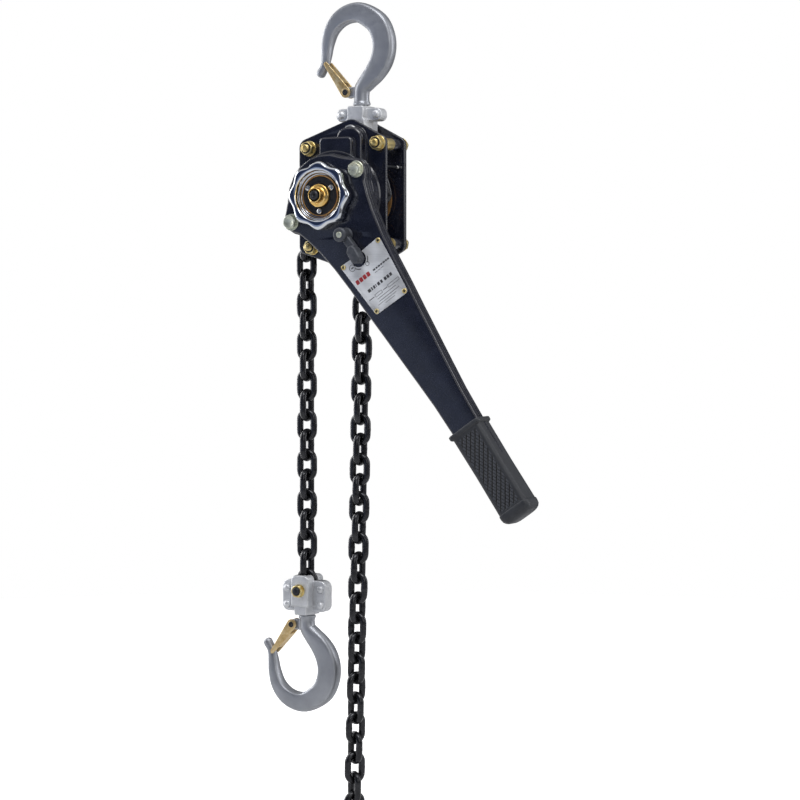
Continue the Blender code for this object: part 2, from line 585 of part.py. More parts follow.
def hook_section(half_width, half_thick, roundness):
    """Twelve points of a bar section, between a cut rectangle and a round."""
    flat = [(1.0, 0.40), (0.82, 0.82), (0.36, 1.0)]
    quarter = [(f[0] + (r[0] - f[0]) * roundness, f[1] + (r[1] - f[1]) * roundness)
               for f, r in zip(flat, [polar(1.0, a) for a in (15, 45, 75)])]
    return [(x * half_width, y * half_thick) for x, y in quadrants(quarter)]


def hook_body(head):
    """Head, neck and bar. head is the distance from the bowl centre to the yoke face."""
    rings = []
    for r, z in ((9.0, head + 11.4), (9.0, head + 6.4), (5.5, head + 6.4), (5.5, head),
                 (7.9, head)):
        rings.append([(HOOK_OFFSET + x, y, z) for x, y in hook_section(r, r, 1.0)])
    for i, (x, z, width, thick, roundness) in enumerate(HOOK):
        if i == 0:                                    # square to the shank
            along = Vector((0.0, -1.0))
        elif z < -30:                                 # level across the bottom of the bowl
            along = Vector((-1.0, 0.0))
        else:
            before, after = HOOK[i - 1], HOOK[min(len(HOOK) - 1, i + 1)]
            along = Vector((after[0] - before[0], after[1] - before[1])).normalized()
        side = Vector((-along.y, along.x))
        rings.append([(x + side.x * s, y, z + side.y * s)
                      for s, y in hook_section(width / 2, thick / 2, roundness)])
    return loft(rings)


def hook_ear():
    """The lug that carries the latch."""
    corners = [(4.0, 41.5, 0), (4.0, 53.0, 0), (-10.5, 53.0, 3.5), (-14.6, 48.6, 3),
               (-10.0, 42.5, 3)]
    return prism(fillet(corners, 2), -3.9, 3.9, [circle(LATCH_HOLE_R, 8, LATCH_PIVOT)])


def latch():
    """Spring latch and its two slots: cheeks round the ear and the tip, with a web between."""
    x, z = LATCH_PIVOT
    corners = [(x - 5.0, z + 4.6, 2.5), (x + 4.6, z + 3.6, 3), (x + 4.6, z - 4.6, 3),
               (-20.5, 21.2, 0), (-26.0, 14.0, 1.5), (-33.6, 21.5, 1.5), (-27.5, 30.0, 0)]
    body = prism(fillet(corners, 2), -6.4, 6.4, [circle(LATCH_HOLE_R, 8, LATCH_PIVOT)])
    ear_slot = prism([(x - 9, z + 9), (x + 9, z + 9), (x + 9, z - 9), (x - 3.5, z - 11.5),
                      (x - 12.5, z - 4.0)], -4.5, 4.5)
    tip_slot = prism([(-24.6, 8.0), (-24.6, 20.0), (-26.4, 30.0), (-27.6, 36.0), (-42.0, 36.0),
                      (-42.0, 8.0)], -5.3, 5.3)
    return body, ear_slot, tip_slot


def placed(shape, bowl, up):
    """Hook frame to hub frame. up is +1 when the shank points up, -1 when it points down."""
    return [(bowl[0] + x, y, bowl[1] + up * z) for x, y, z in shape[0]], shape[1]


for which, bowl, up, head in (("top", TOP_BOWL, -1, TOP_BOWL[1] - (TOP_YOKE_END + GAP)),
                              ("bottom", BOTTOM_BOWL, 1, BOTTOM_YOKE_END - GAP - BOTTOM_BOWL[1])):
    make(f"{which}_hook", placed(hook_body(head), bowl, up), FORGED,
         pivot=(bowl[0] + HOOK_OFFSET, bowl[1]), join=[placed(hook_ear(), bowl, up)])
    pivot = (bowl[0] + LATCH_PIVOT[0], bowl[1] + up * LATCH_PIVOT[1])
    make(f"{which}_latch_pin",
         turned([(3.0, -7.7), (3.0, -6.8), (1.9, -6.8), (1.9, 6.8), (3.0, 6.8), (3.0, 7.7)],
                10, pivot), ZINC, pivot=pivot)
    body, *slots = [placed(shape, bowl, up) for shape in latch()]
    make(f"{which}_latch", body, SPRING, pivot=pivot, cut=slots)

# ---------------------------------------------------------------- yokes
# Each yoke is two halves that meet in the middle plane, with wings riveted together.
WING_DEPTH = 7.0
WING_HALF = 26.5


def half_span(side, depth):
    """The y range of one half, from the middle plane's clearance out to depth."""
    return sorted((side * GAP / 2, side * depth))


def rivet_head(x, z, side):
    face = side * WING_DEPTH
    return turned([(4.0, face - side * 1.0), (4.0, face + side * 1.2), (2.4, face + side * 3.4)],
                  8, (x, z))


for name, side in (("top_yoke_front", -1), ("top_yoke_rear", 1)):
    x = YOKE_PIN[0]
    lug = fillet([(x - 11.5, 54.5, 9), (x + 11.5, 54.5, 9), (x + 11.5, 80, 0), (x + 9.6, 82, 0),
                  (x + 9.6, TOP_YOKE_END, 3), (x - 9.6, TOP_YOKE_END, 3), (x - 9.6, 82, 0),
                  (x - 11.5, 80, 0)])
    make(name, prism(lug, *half_span(side, 15.0)), CAST, pivot=YOKE_PIN,
         join=[box(x - WING_HALF, x + WING_HALF, *half_span(side, WING_DEPTH), 78.5, 92.0,
                   low=5, high=6, steps=3),
               group(*[rivet_head(x + dx, 85.6, side) for dx in (-20.3, 20.3)])],
         cut=[turned([(5.3, -30), (5.3, 30)], 12, YOKE_PIN),
              turned_z([(9.5, 82.8), (9.5, 88.6), (5.9, 88.6), (5.9, 100.0)], x)])

for name, side in (("bottom_yoke_front", -1), ("bottom_yoke_rear", 1)):
    x = LOAD_X
    make(name,
         box(x - 11, x + 11, *half_span(side, 17.0), -428.5, -394, high=5, steps=3), CAST,
         pivot=CHAIN_PIN,
         join=[box(x - 9.8, x + 9.8, *half_span(side, 13.0), BOTTOM_YOKE_END, -420, low=2),
               box(x - WING_HALF, x + WING_HALF, *half_span(side, WING_DEPTH), -433.0, -400.0,
                   low=7, high=7, steps=3),
               group(*[rivet_head(x + dx, z, side) for dx in (-20, 20)
                       for z in (-409.0, -426.0)])],
         cut=[turned([(4.4, -30), (4.4, 30)], 12, CHAIN_PIN),
              box(x - 14.5, x + 14.5, -4.5, 4.5, -424.4, -380.0),
              box(x - 4.7, x + 4.7, -13.0, 13.0, -403.0, -380.0),
              turned_z([(5.9, -440.0), (5.9, -430.6), (9.5, -430.6), (9.5, -424.0)], x)])

make("chain_pin",
     turned([(3.2, -25.6), (4.0, -24.8), (4.0, 17.3), (6.6, 17.3), (6.6, 20.6), (5.8, 21.4)],
            12, CHAIN_PIN), ZINC, pivot=CHAIN_PIN)
make("chain_pin_nut",
     fastener([(-17.3, 7.0, "round"), (-18.6, 7.0, "round"), (-18.6, 6.6, "hex"),
               (-23.4, 6.6, "hex"), (-23.4, 4.3, "round"), (-17.3, 4.3, "round")],
              CHAIN_PIN, closed=True), ZINC, pivot=CHAIN_PIN)

# ---------------------------------------------------------------- chain
# A link is a square bar bent round eight points. Neighbours overlap a little at their crowns.
SIDES = 4
BAR = 4.6                                  # centre to corner of the bar
INNER_HALF = PITCH / 2 - 0.17              # link centre to the inside of a crown
CROWN = INNER_HALF + BAR * cos(pi / SIDES)  # link centre to the bar's centre at a crown
CROWN_HALF = 5.75                          # half the straight part of a crown
SHOULDER = CROWN - 4.5                     # where the long sides end
SIDE_OUT = 8.2                             # link centre to the bar's centre at a long side
WELD = 2.8                                 # half size of the block at each contact
LINK_PATH = [(CROWN, -CROWN_HALF), (CROWN, CROWN_HALF), (SHOULDER, SIDE_OUT),
             (-SHOULDER, SIDE_OUT), (-CROWN, CROWN_HALF), (-CROWN, -CROWN_HALF),
             (-SHOULDER, -SIDE_OUT), (SHOULDER, -SIDE_OUT)]


def link(x, z, direction, upright):
    """One link centred at (x, 0, z). upright: its flat lies in the XZ plane, else across it."""
    along = Vector((direction[0], 0.0, direction[1])).normalized()
    across = Vector((-along.z, 0.0, along.x)) if upright else Vector((0.0, 1.0, 0.0))
    normal = along.cross(across)
    centre = Vector((x, 0.0, z))
    rings = []
    for i, (p, q) in enumerate(LINK_PATH):
        before = (Vector((p, q)) - Vector(LINK_PATH[i - 1])).normalized()
        after = (Vector(LINK_PATH[(i + 1) % len(LINK_PATH)]) - Vector((p, q))).normalized()
        mitre = Vector((before.y + after.y, -(before.x + after.x))).normalized()
        mitre = mitre / max(0.5, mitre.dot(Vector((before.y, -before.x))))
        ring = []
        for out, up in circle(BAR, SIDES, start=pi / SIDES):
            ring.append(tuple(centre + along * (p + mitre.x * out) + across * (q + mitre.y * out)
                              + normal * up))
        rings.append(ring)
    return loft(rings, closed=True)


def chain(name, centres, first_upright, pivot=(0.0, 0.0), before=None, after=None):
    """Links through the centres, welded into one piece. before and after aim the end links."""
    path = [before or centres[0], *centres, after or centres[-1]]
    links = []
    for i, (x, z) in enumerate(centres):
        a, b = path[i], path[i + 2]
        links.append(link(x, z, (b[0] - a[0], b[1] - a[1]), (i % 2 == 0) == first_upright))
    welds = []
    for (x0, z0), (x1, z1) in zip(centres, centres[1:]):
        x, z = (x0 + x1) / 2, (z0 + z1) / 2
        welds.append(box(x - WELD, x + WELD, -WELD, WELD, z - WELD, z + WELD))
    make(name, group(*links[0::2]), CHAIN, pivot=pivot,
         join=[group(*links[1::2]), group(*welds)])


LOAD_LINKS = 17
chain("load_chain", [(LOAD_X, LOAD_TOP - PITCH * i) for i in range(LOAD_LINKS)], True,
      pivot=(LOAD_X, LOAD_TOP))

# ---------------------------------------------------------------- chain over the sheave
SLACK_TOP = (12.5, -71.5)                  # first hanging link of the free strand
WRAP_STEP = 36                             # angle between links on the sheave, degrees
WRAP_LINKS = 6
SLACK_TANGENT = Vector((-0.342, -0.940))   # direction in which the free side leaves the sheave


def turning_link(strand, lean, lift):
    """The link whose lower crown hooks a strand's top link. lean is in degrees towards +X."""
    foot = Vector(strand) + Vector((0.0, PITCH / 2))
    up = Vector((sin(radians(lean)), cos(radians(lean))))
    return tuple(foot + up * (PITCH / 2) + Vector((0.0, lift)))


load_tangent = Vector((-sin(radians(WRAP_START)), cos(radians(WRAP_START))))
on_sheave = [polar(SHEAVE_R, WRAP_START - WRAP_STEP * k) for k in range(WRAP_LINKS)]
load_side = [tuple(Vector(on_sheave[0]) + load_tangent * PITCH * k) for k in (2, 1)]
slack_side = tuple(Vector(on_sheave[-1]) + SLACK_TANGENT * PITCH)
wrapped = [turning_link((LOAD_X, LOAD_TOP), lean=12.0, lift=-1.15), *load_side, *on_sheave,
           slack_side, turning_link(SLACK_TOP, lean=15.0, lift=-1.25)]
chain("wrapped_chain", wrapped, False,
      before=(load_side[0][0] - 9.0, load_side[0][1] - 42.0),
      after=(slack_side[0] - 11.0, slack_side[1] - 40.0))

# ---------------------------------------------------------------- free strand and end ring
SLACK_LEAN = 0.0196                        # sideways lean, towards -X going down
SLACK_UPPER = 12                           # links above and below the bend
SLACK_LOWER = 16
HINGE_GAP = 2.0                            # lift of the lower part, room at the bend's contact


def slack(i, lift=0.0):
    return (SLACK_TOP[0] - SLACK_LEAN * PITCH * i, SLACK_TOP[1] - PITCH * i + lift)


lower = [slack(i, HINGE_GAP) for i in range(SLACK_UPPER, SLACK_UPPER + SLACK_LOWER)]
swing = slack(SLACK_UPPER - 0.5)
chain("slack_chain_upper", [slack(i) for i in range(SLACK_UPPER)], True, pivot=swing)
chain("slack_chain_lower", lower, True, pivot=swing)

RING_R = 15.0
RING_BAR = 2.9
ring_x, tail_z = lower[-1]
ring_z = tail_z - INNER_HALF + RING_BAR + 3 * GAP - RING_R
ring_section = [(RING_R + r, y) for r, y in circle(RING_BAR, 6)]
make("chain_end_ring",
     loft([[(ring_x + r * cos(a), y, ring_z + r * sin(a)) for r, y in ring_section]
           for a in (2 * pi * k / 12 for k in range(12))], closed=True), ZINC, pivot=swing)
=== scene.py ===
"""A lever chain hoist that hangs from its top hook, with a load hook and a slack chain below it.

Pieces are drawn in mm in the hub frame: the origin is on the drive shaft, midway between the
side plates; +X is right, +Y is back (the handwheel is at the front, -Y) and +Z is up.
"""
from math import acos, atan2, copysign, cos, exp, pi, radians, sin, tan

import bmesh
import bpy
from mathutils import Matrix, Vector
from mathutils.geometry import tessellate_polygon


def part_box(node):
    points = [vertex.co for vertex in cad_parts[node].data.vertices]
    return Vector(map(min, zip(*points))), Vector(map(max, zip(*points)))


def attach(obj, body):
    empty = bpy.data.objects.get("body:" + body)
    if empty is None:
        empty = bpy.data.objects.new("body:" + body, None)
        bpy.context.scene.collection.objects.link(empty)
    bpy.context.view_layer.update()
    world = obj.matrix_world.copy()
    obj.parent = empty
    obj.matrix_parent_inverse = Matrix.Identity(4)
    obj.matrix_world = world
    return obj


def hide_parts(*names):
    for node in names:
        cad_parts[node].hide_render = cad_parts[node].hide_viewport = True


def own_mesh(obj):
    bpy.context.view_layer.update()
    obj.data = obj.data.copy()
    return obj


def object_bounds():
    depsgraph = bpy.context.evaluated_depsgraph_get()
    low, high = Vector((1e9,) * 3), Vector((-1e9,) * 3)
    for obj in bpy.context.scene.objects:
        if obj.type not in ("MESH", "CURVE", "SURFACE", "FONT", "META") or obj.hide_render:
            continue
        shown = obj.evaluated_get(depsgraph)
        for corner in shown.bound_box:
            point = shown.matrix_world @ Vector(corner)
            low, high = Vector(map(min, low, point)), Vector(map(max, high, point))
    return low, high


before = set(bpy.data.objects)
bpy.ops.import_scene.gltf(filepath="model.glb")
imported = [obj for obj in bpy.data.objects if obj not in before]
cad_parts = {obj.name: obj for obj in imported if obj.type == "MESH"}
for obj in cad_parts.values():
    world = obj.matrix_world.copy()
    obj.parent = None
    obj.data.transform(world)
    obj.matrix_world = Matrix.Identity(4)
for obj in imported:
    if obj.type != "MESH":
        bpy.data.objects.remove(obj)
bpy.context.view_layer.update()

MM = 0.001

# ---------------------------------------------------------------- driving dimensions, mm
PLATE_INNER, PLATE_OUTER = 18.0, 22.0  # faces of the side plates, from the middle
SEAT_Y = PLATE_OUTER + 0.3             # where covers and nuts meet the side plates
AXIS = (0.0, 0.0)
CORE = 0.02                            # radius that closes a turned profile at its axis

# Stay bolts: their centre (x, z) and the turn of their hexagons.
BOLTS = {
    "upper_left": ((-38.0, 51.0), 0.25), "upper_right": ((43.0, 54.5), 0.1),
    "lower_left": ((-34.5, -51.0), 0.0), "lower_right": ((43.5, -47.5), 0.35),
}
THREAD_R = 4.0
YOKE_PIN, SLACK_ROLLER = (11.0, 66.0), (32.5, -55.0)

GEAR_SPACING = 34.2                    # pinion to reduction gear
PINION_TEETH, TOOTH_SUM = 9, 36        # the sum is pinion and reduction gear together
GEAR_MODULE = 2 * GEAR_SPACING / TOOTH_SUM

LEVER_ANGLE = radians(34.7)            # the lever's lean from straight down, to the right
LEVER_Y = -52.0                        # parting plane of the lever shells
WEAVE_PITCH, CROSS_PITCH, CROSS_SLANT = 4.7, 3.3, 0.55  # grooves of the grip

PITCH, BEND, BAR = 21.0, 8.2, 3.5      # chain: link pitch, bend radius and wire radius
WRAP = radians(160)                    # where the chain meets the load sheave
LOAD_X = -55.0

hub_low, hub_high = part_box("brake_hub")
HUB_X, HUB_Z = (hub_low.x + hub_high.x) / 2, (hub_low.z + hub_high.z) / 2
HUB_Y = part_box("rear_side_plate")[0].y - PLATE_INNER * MM


def to_scene(point):
    return Vector((HUB_X + point[0] * MM, HUB_Y + point[1] * MM, HUB_Z + point[2] * MM))


# ---------------------------------------------------------------- shader nodes
def new_node(tree, kind, inputs, **settings):
    """A new node. Each input is given a value, or the output that is linked to it."""
    node = tree.nodes.new(kind)
    for name, value in settings.items():
        setattr(node, name, value)
    for key, value in inputs.items():
        socket = node.inputs[key]
        if isinstance(value, bpy.types.NodeSocket):
            tree.links.new(value, socket)
        else:
            socket.default_value = (*value, 1) if socket.type == "RGBA" else value
    return node


def colour_ramp(tree, source, stops):
    """A ramp of (position, colour) stops; a float is a grey."""
    node = new_node(tree, "ShaderNodeValToRGB", {"Fac": source})
    elements = node.color_ramp.elements
    while len(elements) < len(stops):
        elements.new(0.5)
    for element, (position, colour) in zip(elements, stops):
        element.position = position
        element.color = (colour, colour, colour, 1) if isinstance(colour, float) else (*colour, 1)
    return node.outputs["Color"]


def mix_colour(tree, first, second, share):
    inputs = {6: first, 7: second, 0: share}
    return new_node(tree, "ShaderNodeMix", inputs, data_type="RGBA").outputs[2]


def map_range(tree, value, start, stop, low=0.0, high=1.0, curve="LINEAR"):
    inputs = {"Value": value, "From Min": start, "From Max": stop, "To Min": low, "To Max": high}
    node = new_node(tree, "ShaderNodeMapRange", inputs, interpolation_type=curve)
    return node.outputs["Result"]


class Finish:
    """A Principled material with inputs driven by nodes. Lengths are in metres of the object."""

    def __init__(self, name, metal=0.0):
        self.material = bpy.data.materials.new(name)
        self.material.use_nodes = True
        self.tree = self.material.node_tree
        self.inputs = self.tree.nodes["Principled BSDF"].inputs
        self.inputs["Metallic"].default_value = metal
        self.inputs["IOR"].default_value = 1.5
        self.place = self.node("ShaderNodeTexCoord").outputs["Object"]
        self.normal = None

    def node(self, kind, inputs=None, **settings):
        return new_node(self.tree, kind, inputs or {}, **settings)

    def geometry(self, output):
        return self.node("ShaderNodeNewGeometry").outputs[output]

    def noise(self, scale, detail=3.0, rough=0.5, place=None, distort=0.0):
        return self.node("ShaderNodeTexNoise", {
            "Scale": scale, "Detail": detail, "Roughness": rough, "Distortion": distort,
            "Vector": place or self.place}).outputs["Fac"]

    def ramp(self, source, *stops):
        return colour_ramp(self.tree, source, stops)

    def mottle(self, *stops, **noise):
        """Noise through a ramp of (position, colour or value) stops."""
        return self.ramp(self.noise(**noise), *stops)

    def mix(self, first, second, share):
        return mix_colour(self.tree, first, second, share)

    def calc(self, operation, first, second=0.0):
        inputs = {0: first, 1: second}
        return self.node("ShaderNodeMath", inputs, operation=operation).outputs[0]

    def times(self, first, second):
        return self.calc("MULTIPLY", first, second)

    def colour(self, source):
        self.tree.links.new(source, self.inputs["Base Color"])

    def rough(self, source):
        self.tree.links.new(source, self.inputs["Roughness"])

    def patchy_rough(self, low, high, scale, detail):
        self.rough(self.mottle((0.3, low), (0.75, high), scale=scale, detail=detail, rough=0.6))

    def bump(self, height, depth, strength):
        inputs = {"Strength": strength, "Distance": depth, "Height": height}
        if self.normal is not None:
            inputs["Normal"] = self.normal
        self.normal = self.node("ShaderNodeBump", inputs).outputs["Normal"]
        self.tree.links.new(self.normal, self.inputs["Normal"])

    def grain(self, depth, strength, **noise):
        """A noise bump, on top of any bump already there."""
        self.bump(self.noise(**noise), depth, strength)

    def edge(self, radius, flat=0.985, sharp=0.90):
        """0 on faces, 1 along rounded and sharp edges."""
        bevel = self.node("ShaderNodeBevel", {"Radius": radius}, samples=4)
        inputs = {0: bevel.outputs["Normal"], 1: self.geometry("Normal")}
        dot = self.node("ShaderNodeVectorMath", inputs, operation="DOT_PRODUCT")
        return map_range(self.tree, dot.outputs["Value"], flat, sharp)

    def coat(self, weight, rough):
        self.inputs["Coat Weight"].default_value = weight
        self.inputs["Coat Roughness"].default_value = rough


# ---------------------------------------------------------------- materials
def paint():
    skin = Finish("gloss_black_paint")
    base = skin.mottle((0.30, (0.0055, 0.0065, 0.0125)), (0.72, (0.0115, 0.0135, 0.026)),
                       scale=55, detail=4, rough=0.6)
    speck = skin.mottle((0.60, 0.0), (0.74, 1.0), scale=1500, detail=2, rough=0.6)
    base = skin.mix(base, (0.030, 0.034, 0.052), skin.times(speck, 0.55))
    # Edges are lighter: partly rubbed wear, partly a painted highlight along the edges.
    rub_and_highlight = skin.times(skin.edge(radius=0.0007),
                     skin.mottle((0.42, 0.0), (0.66, 1.0), scale=160, detail=4, rough=0.65))
    skin.colour(skin.mix(base, (0.10, 0.105, 0.115), skin.times(rub_and_highlight, 0.55)))
    gloss = skin.mottle((0.3, 0.20), (0.75, 0.33), scale=90, detail=4, rough=0.6)
    skin.rough(skin.calc("ADD", gloss, skin.times(rub_and_highlight, 0.15)))
    skin.grain(depth=0.00005, strength=0.55, scale=520, detail=2)
    skin.grain(depth=0.00001, strength=0.4, scale=2600, detail=2)
    skin.coat(weight=0.75, rough=0.055)
    return skin.material


def forged():
    skin = Finish("satin_forged_steel", metal=0.68)
    base = skin.mottle((0.30, (0.285, 0.30, 0.33)), (0.72, (0.40, 0.415, 0.45)),
                       scale=26, detail=5, rough=0.6)
    stain = skin.mottle((0.60, 0.0), (0.80, 0.55), scale=210, detail=5, rough=0.7)
    base = skin.mix(base, (0.26, 0.25, 0.235), stain)
    # The rounded edges are lightened: a painted highlight on the chamfers, with some wear.
    wear_and_highlight = skin.times(skin.edge(radius=0.0018, flat=0.994, sharp=0.94), 0.85)
    skin.colour(skin.mix(base, (0.88, 0.89, 0.91), wear_and_highlight))
    skin.patchy_rough(0.36, 0.50, scale=140, detail=4)
    skin.grain(depth=0.00004, strength=0.5, scale=1900, rough=0.6)
    skin.grain(depth=0.00007, strength=0.35, scale=320)
    return skin.material


def cast():
    skin = Finish("bright_cast_steel", metal=0.48)
    base = skin.mottle((0.30, (0.56, 0.575, 0.60)), (0.72, (0.74, 0.755, 0.78)),
                       scale=60, detail=4, rough=0.6)
    stain = skin.mottle((0.60, 0.0), (0.80, 0.7), scale=500, detail=4, rough=0.7)
    base = skin.mix(base, (0.24, 0.24, 0.245), stain)
    # Hollows and creases are darkened: painted shade where the parts meet.
    painted_crevice_shade = skin.ramp(skin.geometry("Pointiness"), (0.36, 1.0), (0.47, 0.0))
    base = skin.mix(base, (0.07, 0.07, 0.075), painted_crevice_shade)
    # The rounded edges are lightened: partly wear, partly a painted highlight.
    wear_and_highlight = skin.times(skin.edge(radius=0.0010, flat=0.992, sharp=0.93), 0.6)
    skin.colour(skin.mix(base, (0.88, 0.89, 0.90), wear_and_highlight))
    skin.patchy_rough(0.34, 0.50, scale=260, detail=3)
    skin.grain(depth=0.00009, strength=0.6, scale=1300, detail=4, rough=0.65)
    return skin.material


def chrome():
    skin = Finish("polished_chrome", metal=1.0)
    skin.colour(skin.mottle((0.3, (0.66, 0.69, 0.74)), (0.7, (0.78, 0.80, 0.83)), scale=40))
    skin.rough(skin.mottle((0.35, 0.035), (0.75, 0.085), scale=120, detail=4, rough=0.6))
    skin.grain(depth=0.00004, strength=0.35, scale=120, detail=2)
    return skin.material


def plated(name, dark, middle, light, rough=0.26, metal=0.85):
    """Cloudy zinc or brass colours with brown stains."""
    skin = Finish(name, metal)
    base = skin.mottle((0.28, dark), (0.50, middle), (0.74, light),
                       scale=130, rough=0.55, distort=0.6)
    stain = skin.mottle((0.62, 0.0), (0.84, 0.5), scale=650, detail=4, rough=0.7)
    skin.colour(skin.mix(base, (0.16, 0.12, 0.05), stain))
    skin.patchy_rough(rough, rough + 0.14, scale=300, detail=3)
    skin.grain(depth=0.00003, strength=0.45, scale=1600, rough=0.6)
    return skin.material


def steel(name, dark, light, rough=0.30, metal=1.0):
    skin = Finish(name, metal)
    skin.colour(skin.mottle((0.3, dark), (0.72, light), scale=220, detail=4, rough=0.6))
    skin.patchy_rough(rough, rough + 0.14, scale=180, detail=4)
    skin.grain(depth=0.00003, strength=0.5, scale=1500, rough=0.6)
    return skin.material


def chain_steel():
    skin = Finish("black_chain_steel", metal=0.75)
    base = skin.mottle((0.30, (0.012, 0.0125, 0.015)), (0.72, (0.034, 0.035, 0.041)),
                       scale=90, detail=4, rough=0.6)
    # Lighter worn spots, placed at random by the noise.
    wear_and_highlight = skin.mottle((0.60, 0.0), (0.80, 0.75), scale=330, detail=5, rough=0.72)
    skin.colour(skin.mix(base, (0.15, 0.15, 0.155), wear_and_highlight))
    skin.patchy_rough(0.20, 0.36, scale=240, detail=4)
    skin.coat(weight=0.35, rough=0.10)
    skin.grain(depth=0.00006, strength=0.45, scale=900, rough=0.6)
    return skin.material


def rubber():
    skin = Finish("charcoal_rubber")
    calc, times = skin.calc, skin.times
    base = skin.mottle((0.3, (0.018, 0.020, 0.025)), (0.72, (0.030, 0.033, 0.040)),
                       scale=45, detail=4, rough=0.6)
    # Edges are lightened with a painted highlight.
    base = skin.mix(base, (0.075, 0.080, 0.092), times(skin.edge(radius=0.0008), 0.45))
    # Pointiness paints shade into the creases and a highlight on the ridges.
    point = skin.geometry("Pointiness")
    base = skin.mix(base, (0.004, 0.0045, 0.006), skin.ramp(point, (0.40, 1.0), (0.49, 0.0)))
    base = skin.mix(base, (0.050, 0.055, 0.066), skin.ramp(point, (0.515, 0.0), (0.60, 1.0)))

    # The place in mm of the hub frame, then along and across the lever.
    place = skin.node("ShaderNodeSeparateXYZ", {0: skin.place}).outputs
    x = times(calc("SUBTRACT", place["X"], HUB_X), 1000.0)
    z = times(calc("SUBTRACT", place["Z"], HUB_Z), 1000.0)
    along = calc("SUBTRACT", times(x, sin(LEVER_ANGLE)), times(z, cos(LEVER_ANGLE)))
    across = calc("ADD", times(x, cos(LEVER_ANGLE)), times(z, sin(LEVER_ANGLE)))
    middle, half_length, half_width = 331.2, 41.6, 11.9  # mm: the grooved field
    off_middle = calc("ABSOLUTE", calc("SUBTRACT", along, middle))
    field = times(calc("LESS_THAN", off_middle, half_length),
                  calc("LESS_THAN", calc("ABSOLUTE", across), half_width))

    def wave(value, pitch):
        """0 midway between grooves, 0.5 in a groove."""
        turn = calc("FRACT", calc("DIVIDE", value, pitch))
        return calc("ABSOLUTE", calc("SUBTRACT", turn, 0.5))

    upright = wave(x, WEAVE_PITCH)
    slanted = wave(calc("ADD", times(x, CROSS_SLANT), z), CROSS_PITCH)
    # Painted shade in the grooves, and a painted highlight on the ridges between them.
    deep = calc("MAXIMUM", skin.ramp(upright, (0.30, 0.0), (0.42, 1.0)),
                times(skin.ramp(slanted, (0.32, 0.0), (0.44, 1.0)), 0.8))
    painted_ridge_highlight = times(field, times(calc("SUBTRACT", 1.0, deep), 0.65))
    base = skin.mix(base, (0.058, 0.064, 0.078), painted_ridge_highlight)
    skin.colour(skin.mix(base, (0.0035, 0.004, 0.0055), times(field, deep)))
    skin.patchy_rough(0.46, 0.60, scale=200, detail=3)
    skin.grain(depth=0.00003, strength=0.5, scale=2400, rough=0.6)
    return skin.material


def brushed():
    skin = Finish("brushed_aluminium", metal=0.18)
    along = skin.node("ShaderNodeMapping", {
        "Scale": (30, 40, 1700), "Rotation": (0, -LEVER_ANGLE, 0), "Vector": skin.place})
    hair = skin.noise(scale=1.0, detail=5, rough=0.7, place=along.outputs["Vector"])
    base = skin.ramp(hair, (0.30, (0.64, 0.66, 0.69)), (0.72, (0.80, 0.815, 0.84)))
    # Low-frequency darker patches: painted shade on the plate.
    painted_shade_patches = skin.mottle((0.50, 0.0), (0.68, 0.75), scale=26, detail=2)
    skin.colour(skin.mix(base, (0.22, 0.225, 0.235), painted_shade_patches))
    skin.rough(skin.ramp(hair, (0.3, 0.34), (0.7, 0.46)))
    skin.bump(hair, depth=0.00003, strength=0.35)
    return skin.material


def print_ink(name, dark, light):
    skin = Finish(name)
    skin.colour(skin.mottle((0.35, dark), (0.70, light), scale=900, rough=0.6))
    skin.rough(skin.mottle((0.3, 0.42), (0.7, 0.56), scale=600))
    skin.grain(depth=0.00001, strength=0.4, scale=2500, detail=2)
    return skin.material


def lining():
    skin = Finish("friction_lining")
    skin.colour(skin.mottle((0.35, (0.06, 0.035, 0.022)), (0.70, (0.17, 0.10, 0.07)),
                            scale=900, detail=4, rough=0.7))
    skin.inputs["Roughness"].default_value = 0.8
    skin.grain(depth=0.00008, strength=0.6, scale=1600, detail=4, rough=0.7)
    return skin.material


PAINT, FORGED, CAST, CHROME = paint(), forged(), cast(), chrome()
ZINC = plated("yellow_zinc", (0.60, 0.42, 0.13), (0.74, 0.60, 0.27), (0.66, 0.60, 0.36))
PALE = plated("pale_zinc", (0.50, 0.53, 0.42), (0.66, 0.69, 0.58), (0.58, 0.55, 0.38),
              rough=0.24, metal=0.7)
GOLD = plated("gold_spring_steel", (0.52, 0.35, 0.14), (0.70, 0.52, 0.26), (0.82, 0.70, 0.44),
              rough=0.28, metal=0.72)
BUSH = plated("polished_bush", (0.62, 0.36, 0.09), (0.80, 0.52, 0.17), (0.86, 0.64, 0.30),
              rough=0.16, metal=0.95)
BRONZE = plated("bronze", (0.40, 0.20, 0.07), (0.60, 0.34, 0.13), (0.68, 0.42, 0.18),
                rough=0.30)
STEEL = steel("machined_steel", (0.34, 0.345, 0.35), (0.54, 0.545, 0.55))
SCREW = steel("bright_screw_steel", (0.60, 0.605, 0.60), (0.80, 0.80, 0.79), rough=0.20)
DARK = steel("dark_oxide_steel", (0.018, 0.019, 0.023), (0.050, 0.052, 0.058),
             rough=0.34, metal=0.6)
SELECT = steel("grey_cast_knob", (0.050, 0.055, 0.066), (0.095, 0.102, 0.118),
               rough=0.42, metal=0.35)
CHAIN, RUBBER, BRUSHED, LINING = chain_steel(), rubber(), brushed(), lining()
INK = print_ink("dark_print", (0.030, 0.030, 0.034), (0.060, 0.060, 0.066))
ACCENT = print_ink("accent_print", (0.30, 0.018, 0.022), (0.40, 0.030, 0.034))


# ---------------------------------------------------------------- loops of (x, z)
def polar(radius, angle, centre=AXIS):
    return centre[0] + radius * cos(angle), centre[1] + radius * sin(angle)


def circle(centre, radius, count, start=0.0):
    return [polar(radius, start + 2 * pi * k / count, centre) for k in range(count)]


